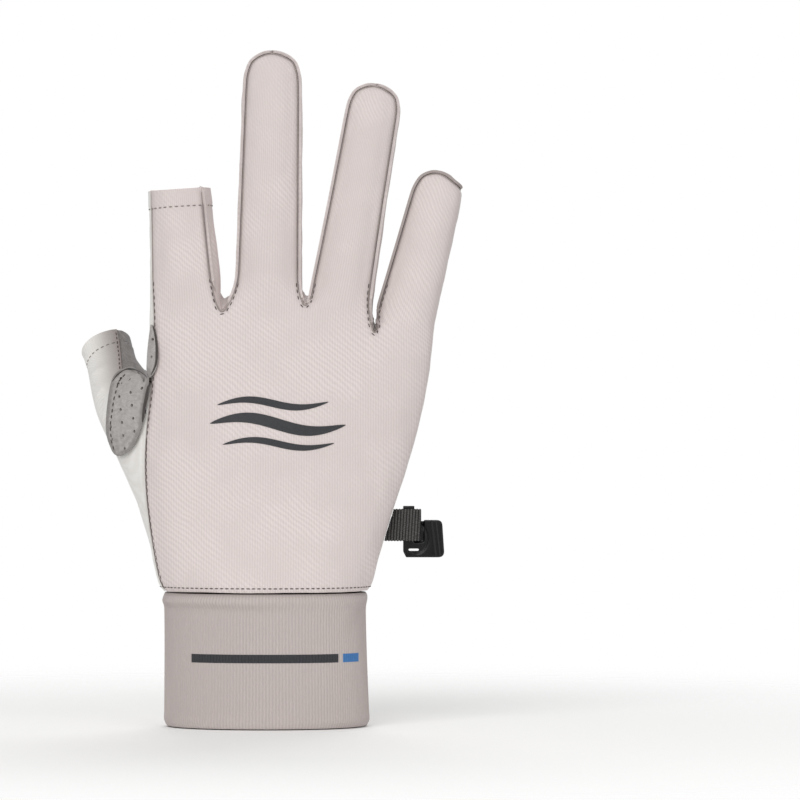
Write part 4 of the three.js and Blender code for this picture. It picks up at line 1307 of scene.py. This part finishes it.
@dataclass
class Stitches:
    """Rows of short thread stitches, each a small rounded strand laid on the cloth."""

    pitch: float = 2.4 * MM
    length: float = 1.6 * MM
    radius: float = 0.2 * MM
    proud: float = 0.07 * MM

    def strand(self, shape: Shape, place: Vector, along: Vector, out: Vector) -> None:
        """Adds one stitch.

        Args:
            shape: The thread's bmesh.
            place: Its middle.
            along: The way it runs.
            out: Away from the cloth.
        """
        across = out.cross(along).normalized()
        lift = along.cross(across).normalized()
        turn = Matrix((along, across, lift)).transposed().to_4x4()
        stamp(shape, self.template(), place, turn, (self.length / 2, self.radius, self.radius * 0.8))

    def template(self) -> bpy.types.Mesh:
        """A stitch of unit size, made once."""
        mesh = bpy.data.meshes.get("stitch_template")
        if mesh is None:
            ball = bmesh.new()
            lying = Matrix.Rotation(math.pi / 2, 4, "Y")
            bmesh.ops.create_uvsphere(ball, u_segments=8, v_segments=5, radius=1.0, matrix=lying)
            mesh = bpy.data.meshes.new("stitch_template")
            ball.to_mesh(mesh)
            ball.free()
        return mesh

    def along_line(
        self,
        shape: Shape,
        line: SeamLine,
        offset: float,
        tree: BVHTree,
        taken: Optional[KDTree] = None,
    ) -> None:
        """Sews one run.

        Args:
            shape: The thread's bmesh.
            line: The seam run.
            offset: Distance from the seam, into the panel.
            tree: The finished cloth that carries the stitches.
            taken: Places that already have stitches and are left out.
        """
        walked = 0.0
        due = self.pitch / 2
        for k in range(len(line.points) - 1):
            a, b = line.points[k], line.points[k + 1]
            step = (b - a).length
            while step > 0 and due <= walked + step:
                share = (due - walked) / step
                out = line.normals[k].lerp(line.normals[k + 1], share).normalized()
                inward = line.inward[k].lerp(line.inward[k + 1], share)
                place = a.lerp(b, share) + inward * offset
                due += self.pitch
                if taken and taken.find(place)[2] < 1.3 * MM:
                    continue
                found, normal, _, distance = tree.find_nearest(place)
                if found is None or distance > 1.5 * MM:
                    continue
                if normal.dot(out) < 0:
                    normal = -normal
                along = (b - a).normalized()
                along = (along - normal * along.dot(normal)).normalized()
                self.strand(shape, found + normal * self.proud, along, normal)
            walked += step


def cast_inwards(trees: list[BVHTree], place: Vector, centre: Vector) -> Optional[tuple[Vector, Vector]]:
    """The outermost cloth met on the way from a place to a centre line.

    Args:
        trees: Finished sheets.
        place: Start, outside the glove.
        centre: The aim.

    Returns:
        The place met and its outward direction, or None.
    """
    way = (centre - place).normalized()
    best = None
    for tree in trees:
        hit = tree.ray_cast(place, way)
        if hit[0] is not None and (best is None or hit[3] < best[2]):
            normal = hit[1] if hit[1].dot(way) < 0 else -hit[1]
            best = (hit[0], normal, hit[3])
    return None if best is None else (best[0], best[1])


def front_line(trees: list[BVHTree], places: tuple, step: float = 0.6 * MM) -> SeamLine:
    """A line on the cloth straight behind a line drawn in the back view.

    Args:
        trees: Surfaces.
        places: x and z of the line's corners in mm.
        step: Distance between its points.

    Returns:
        The line.
    """
    line = SeamLine()
    corners = [Vector((x * MM, BEFORE_BACK, z * MM)) for x, z in places]
    for a, b in zip(corners, corners[1:]):
        count = max(1, round((b - a).length / step))
        for k in range(count):
            start = a.lerp(b, k / count)
            met = cast_inwards(trees, start, start + LOOK)
            if met:
                line.add(*met, Vector((1, 0, 0)))
    return line


class JoinedSheets:
    """Several sheets searched as one."""

    def __init__(self, trees: list[BVHTree]) -> None:
        """Keeps the sheets."""
        self.trees = trees

    def find_nearest(self, place: Vector) -> tuple:
        """The nearest place on any of the sheets."""
        found = [t.find_nearest(place) for t in self.trees]
        found = [f for f in found if f[0] is not None]
        return min(found, key=lambda f: f[3]) if found else (None, None, None, None)


@dataclass(frozen=True)
class StitchRing:
    """A row right round the glove or a finger: the panels it crosses, its middle and its axis."""

    nodes: tuple[str, ...]
    centre: Vector
    axis: Vector
    reach: float = 16 * MM
    count: int = 90

    def line(self, sheets: list[BVHTree]) -> SeamLine:
        """The closed line of places on the cloth, searched for from a reach outside towards the middle."""
        first = self.axis.orthogonal().normalized()
        second = self.axis.cross(first).normalized()
        line = SeamLine()
        for k in range(self.count + 1):
            angle = 2 * math.pi * k / self.count
            start = self.centre + (first * math.cos(angle) + second * math.sin(angle)) * self.reach
            met = cast_inwards(sheets, start, self.centre)
            if met:
                line.add(*met, self.axis)
        return line

    def sew(self, shape: Shape, stitches: Stitches, trees: dict[str, BVHTree]) -> None:
        """Sews the row.

        Args:
            shape: The thread's bmesh.
            stitches: The kind of stitch.
            trees: Finished sheets by node.
        """
        sheets = [trees[node] for node in self.nodes]
        stitches.along_line(shape, self.line(sheets), 0.0, JoinedSheets(sheets))


CUFF_ROW = StitchRing(HAND_PANELS, Vector((0, 0, CUFF_TOP + 1.7 * MM)), Vector((0, 0, 1)), 60 * MM, 160)
INDEX_ROW = StitchRing(
    INDEX_PANELS,
    Vector((-30.9 * MM, 1.2 * MM, INDEX_HEM_TOP - HEM_HEIGHT)),
    Vector((-0.0645, 0.02, 0.998)).normalized(),
)
THUMB_ROW = StitchRing(THUMB_PANELS, THUMB_HEM - THUMB_AXIS * HEM_HEIGHT, THUMB_AXIS)
TOPSTITCH_HEIGHT = 158 * MM
TOPSTITCH_OFFSET = {Finish.KNIT: 0.75 * MM, Finish.PALE_KNIT: 0.75 * MM, Finish.SUEDE: 0.7 * MM}
SIDE_ROW = ((-36.4, 49.6), (-38.2, 56.0), (-40.6, 70.0), (-41.9, 80.0), (-42.4, 92.0), (-42.2, 101.0))


def sew(panels: dict[str, ClothPanel], trees: dict[str, BVHTree]) -> None:
    """Makes all stitched seams of the panels.

    Args:
        panels: The panels by node.
        trees: Their finished sheets by node.
    """
    stitches = Stitches()
    shape = bmesh.new()
    done: list[Vector] = []
    for node in HAND_PANELS:
        taken = index_places(np.array(done)) if done else None
        for run in panels[node].seams:
            for part in run.parts_below(TOPSTITCH_HEIGHT):
                stitches.along_line(shape, part, TOPSTITCH_OFFSET[panels[node].finish], trees[node], taken)
        done.extend(p for run in panels[node].seams for p in run.points)
    stitches.along_line(shape, front_line([trees["back_panel"]], SIDE_ROW), 0.0, trees["back_panel"])
    CUFF_ROW.sew(shape, Stitches(pitch=1.9 * MM, length=1.35 * MM), trees)
    dress_shape("seam_stitches", shape, ALL_SMOOTH, Finish.THREAD, "light_knit")
    hem = bmesh.new()
    for row in (INDEX_ROW, THUMB_ROW):
        row.sew(hem, Stitches(pitch=2.1 * MM, length=1.3 * MM), trees)
    dress_shape("hem_stitches", hem, ALL_SMOOTH, Finish.HEM_THREAD, "light_knit")


@dataclass
class StrapLoop:
    """The black grosgrain loop: flat webbing with ribs that run along it."""

    node: str = "strap_loop"
    rib_pitch: float = 1.05 * MM
    rib_height: float = 0.3 * MM
    weave_pitch: float = 0.8 * MM
    lean: float = 0.06

    def build(self) -> None:
        """Makes the loop from its solid, as a fine even mesh with ribs."""
        piece = even_copy(self.node, "strap_webbing", 0.2 * MM, 4)
        points = vertex_array(piece.data)
        normals = normal_array(piece.data)
        across = points[:, 0] - (points[:, 2] - 71 * MM) * self.lean
        flat = smoothstep(0.35, 0.8, np.abs(normals[:, 1]) + np.abs(normals[:, 2]))
        rib = np.abs(np.sin(math.pi * across / self.rib_pitch)) ** 0.7 - 0.6
        offset = math.pi * np.floor(across / self.rib_pitch)
        weave = 0.2 * np.sin(2 * math.pi * points[:, 2] / self.weave_pitch + offset)
        move = self.rib_height * (rib + weave) * flat
        set_vertices(piece.data, points + normals * move[:, None])
        shade(piece, ALL_SMOOTH)
        # The stored rib value paints the colour: painted shade in the valleys, painted highlight on the
        # crowns.
        set_attribute(piece.data, "rib_painted_light", np.clip(1.6 * (rib + 0.35) + weave, 0, 1.6))
        dress(piece, Finish.WEBBING, "black_webbing", self.node)


@dataclass
class Clip:
    """The moulded hook clip: rounded edges, a curved groove inside its face and a raised line at its side."""

    node: str = "clip"
    slit_filling: tuple = ((52.3, 57.4), (62.4, 72.2), (0.38, 0.86))

    def build(self) -> None:
        """Makes the clip from its solid, with moulded edges and relief."""
        piece = even_copy(self.node, "clip_acetal", 0.19 * MM, 5, (self.slit_filling,))
        points = vertex_array(piece.data)
        normals = normal_array(piece.data)
        facing = smoothstep(0.5, 0.9, np.abs(normals[:, 1]))
        x, _, z = points.T
        ring = np.hypot(x - 53.2 * MM, (z - 66.2 * MM) * 0.72)
        groove = -0.45 * MM * bell(ring - 3.6 * MM, 0.5 * MM) * smoothstep(50 * MM, 53 * MM, x)
        edge = 58.9 * MM - (z - 66 * MM) * 0.12
        ridge = 0.3 * MM * bell(x - edge, 0.3 * MM)
        low_ridge = 0.2 * MM * bell(x - edge - 1.6 * MM, 0.25 * MM)
        move = (groove + ridge + low_ridge) * facing * smoothstep(58 * MM, 60.5 * MM, z)
        set_vertices(piece.data, points + normals * move[:, None])
        shade(piece, ALL_SMOOTH)
        dress(piece, Finish.ACETAL, "black_plastic", self.node)


def even_copy(node: str, name: str, voxel: float, softening: int, blocks: tuple = ()) -> Piece:
    """A copy of a solid as an even mesh with slightly rounded edges.

    Args:
        node: The solid.
        name: The piece's name.
        voxel: Mesh size.
        softening: Smoothing steps.
        blocks: Blocks fused to it: ranges of x and z in mm, and of its depth as shares.

    Returns:
        The piece.
    """
    shape = shape_of(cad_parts[node].data)
    bmesh.ops.remove_doubles(shape, verts=shape.verts, dist=2e-6)
    depth = [v.co.y for v in shape.verts]
    front, back = min(depth), max(depth)
    for (x0, x1), (z0, z1), (near, far) in blocks:
        y0, y1 = front + (back - front) * near, front + (back - front) * far
        size = Matrix.Diagonal(((x1 - x0) * MM, y1 - y0, (z1 - z0) * MM, 1))
        middle = Vector(((x0 + x1) / 2 * MM, (y0 + y1) / 2, (z0 + z1) / 2 * MM))
        bmesh.ops.create_cube(shape, size=1.0, matrix=Matrix.Translation(middle) @ size)
    piece = new_piece(name, shape)
    apply_modifier(piece, "REMESH", mode="VOXEL", voxel_size=voxel)
    apply_modifier(piece, "SMOOTH", factor=0.5, iterations=softening)
    return piece


@dataclass(frozen=True)
class PrintBand:
    """A plain printed band: its ends, middle height, thickness and how it waves."""

    name: str
    start_x: float
    end_x: float
    height_z: float
    thickness: float
    wave: float
    turns: float
    rise: float = 0.0
    finish: Finish = Finish.PRINT
    pointed: bool = True

    def build(self, tree: BVHTree) -> None:
        """Lays the band on a surface that faces the back's side.

        Args:
            tree: The surface.
        """
        film = 0.3 * MM
        proud = 0.2 * MM if self.pointed else 0.06 * MM
        columns = 220 if self.pointed else 560
        in_front = -80 * MM
        tip = 0.004
        shape = bmesh.new()
        bmesh.ops.create_grid(shape, x_segments=columns, y_segments=8, size=0.5)
        for vert in shape.verts:
            share = vert.co.x + 0.5
            taper = math.sin(math.pi * min(max(share, tip), 1 - tip)) ** 0.6 if self.pointed else 1.0
            x = self.start_x + (self.end_x - self.start_x) * share
            swing = self.wave * math.sin(2 * math.pi * self.turns * share)
            middle = self.height_z + swing + self.rise * share
            z = middle + vert.co.y * self.thickness * taper
            hit = tree.ray_cast(Vector((x * MM, in_front, z * MM)), LOOK)
            vert.co = (x * MM, hit[0].y - proud, z * MM)
        shape.normal_update()
        if sum(f.normal.y for f in shape.faces) > 0:
            bmesh.ops.reverse_faces(shape, faces=shape.faces)
        piece = new_piece(self.name, shape)
        thicken(piece, film)
        shade(piece, 60)
        dress(piece, self.finish, "light_knit")


BACK_BANDS = (
    PrintBand("back_wave_upper", -17.0, 22.0, 113.5, 2.6, 1.6, 1.0, 1.0),
    PrintBand("back_wave_middle", -19.5, 28.0, 107.0, 4.2, 2.2, 1.0, -0.6),
    PrintBand("back_wave_lower", -15.0, 24.0, 99.6, 2.4, 1.5, 1.0, 0.4),
)
CUFF_BANDS = (
    PrintBand("cuff_stripe", -26.0, 25.6, 24.6, 3.0, 0.0, 1.0, 0.0, Finish.PRINT, False),
    PrintBand("cuff_stripe_blue", 27.2, 32.6, 24.6, 3.0, 0.0, 1.0, 0.0, Finish.BLUE_PRINT, False),
)


# Studio


@dataclass
class Studio:
    """A pale floor, soft lights all round and a long lens level with the glove."""

    distance: float = 1.6
    frame_width: float = 283.7 * MM
    look_x: float = 47.2 * MM
    look_z: float = 115.2 * MM

    def camera(self) -> None:
        """Puts the camera straight in front of the back of the hand."""
        data = bpy.data.cameras.new("camera")
        data.sensor_width = 36.0
        data.lens = data.sensor_width * self.distance / self.frame_width
        camera = bpy.data.objects.new("camera", data)
        camera.location = (self.look_x, -self.distance, self.look_z)
        camera.rotation_euler = (math.pi / 2, 0, 0)
        bpy.context.scene.collection.objects.link(camera)
        bpy.context.scene.camera = camera

    def floor(self) -> None:
        """A pale disc under the cuff that fades into the white surround."""
        shape = bmesh.new()
        bmesh.ops.create_circle(shape, cap_ends=True, segments=96, radius=1.2)
        bmesh.ops.translate(shape, verts=shape.verts, vec=(0, 0, -0.4 * MM))
        floor = new_piece("floor", shape)
        paint = Paint("matt_studio_paper")
        away = add_node(paint.tree, "ShaderNodeVectorMath", {"operation": "LENGTH"}, {0: paint.place})
        fade = paint.ramp(away.outputs["Value"], 0.1, 0.4, (1.0, 0.0), "SMOOTHSTEP")
        sockets = {"Base Color": linear("#fbfbfa"), "Roughness": 0.9, "Alpha": fade}
        fill_sockets(paint.tree, paint.shader, sockets)
        floor.data.materials.append(paint.material)

    def light(self, name: str, place: tuple[float, float, float], size: float, power: float) -> None:
        """Adds one square soft light aimed at the middle of the glove."""
        data = bpy.data.lights.new(name, "AREA")
        data.shape = "SQUARE"
        data.size = size
        data.energy = power
        lamp = bpy.data.objects.new(name, data)
        lamp.location = place
        aim = Vector((0, 0, 0.12)) - Vector(place)
        lamp.rotation_euler = aim.to_track_quat("-Z", "Y").to_euler()
        bpy.context.scene.collection.objects.link(lamp)

    def world(self) -> None:
        """An even white surround."""
        world = bpy.data.worlds.new("surround")
        bpy.context.scene.world = world
        world.use_nodes = True
        tree = world.node_tree
        tree.nodes.clear()
        path = add_node(tree, "ShaderNodeLightPath")
        white = (1, 1, 1, 1)
        lit = add_node(tree, "ShaderNodeBackground", inputs={"Color": white, "Strength": 0.5})
        seen = add_node(tree, "ShaderNodeBackground", inputs={"Color": white, "Strength": 1.0})
        parts = {0: path.outputs["Is Camera Ray"], 1: lit.outputs[0], 2: seen.outputs[0]}
        both = add_node(tree, "ShaderNodeMixShader", inputs=parts)
        add_node(tree, "ShaderNodeOutputWorld", inputs={"Surface": both.outputs[0]})

    def build(self) -> None:
        """Sets up the whole studio."""
        bpy.context.scene.view_settings.view_transform = "Standard"
        self.camera()
        self.floor()
        self.world()
        self.light("key", (-0.5, -1.3, 0.9), 1.1, 12.0)
        self.light("fill", (0.9, -1.2, 0.4), 1.2, 5.0)
        self.light("back", (0.2, 1.3, 0.9), 1.2, 9.0)


def main() -> None:
    """Builds the studio, then every piece of the glove."""
    Studio().build()
    knit, suede = 0.95 * MM, 1.1 * MM
    plain = (Finish.KNIT, "light_knit")
    pale = (Finish.PALE_KNIT, "pale_knit")
    grey = (Finish.SUEDE, "grey_suede")
    panels = [
        ClothPanel("back_panel", "back_knit", *plain, Side.BACK, knit, firm=True),
        ClothPanel("palm_panel", "palm_suede", *grey, Side.PALM, suede, firm=True, holes=True),
        ClothPanel("thumb_back_panel", "thumb_pale_knit", *pale, Side.THUMB, knit),
        ClothPanel("thumb_front_panel", "thumb_suede", *grey, Side.THUMB, suede, holes=True),
        ClothPanel("index_side_strip", "index_side_knit", *pale, Side.EDGE, knit),
        ClothPanel("finger_gusset_1", "gusset_index_middle", *plain, Side.EDGE, knit),
        ClothPanel("finger_gusset_2", "gusset_middle_ring", *plain, Side.EDGE, knit),
        ClothPanel("finger_gusset_3", "gusset_ring_little", *plain, Side.EDGE, knit),
    ]
    for panel in panels:
        panel.start()
    for panel in panels:
        panel.meet_neighbours(panels)
        panel.shape_cloth()
    trees = {panel.node: surface_tree(panel.piece) for panel in panels}
    sew({panel.node: panel for panel in panels}, trees)
    seam_cords(panels)
    for panel in panels:
        panel.finish_piece()
    cuff = Cuff().build()
    WebPatch().build()
    StrapLoop().build()
    Clip().build()
    for band in BACK_BANDS:
        band.build(trees["back_panel"])
    for band in CUFF_BANDS:
        band.build(surface_tree(cuff))


if __name__ == "__main__":
    main()
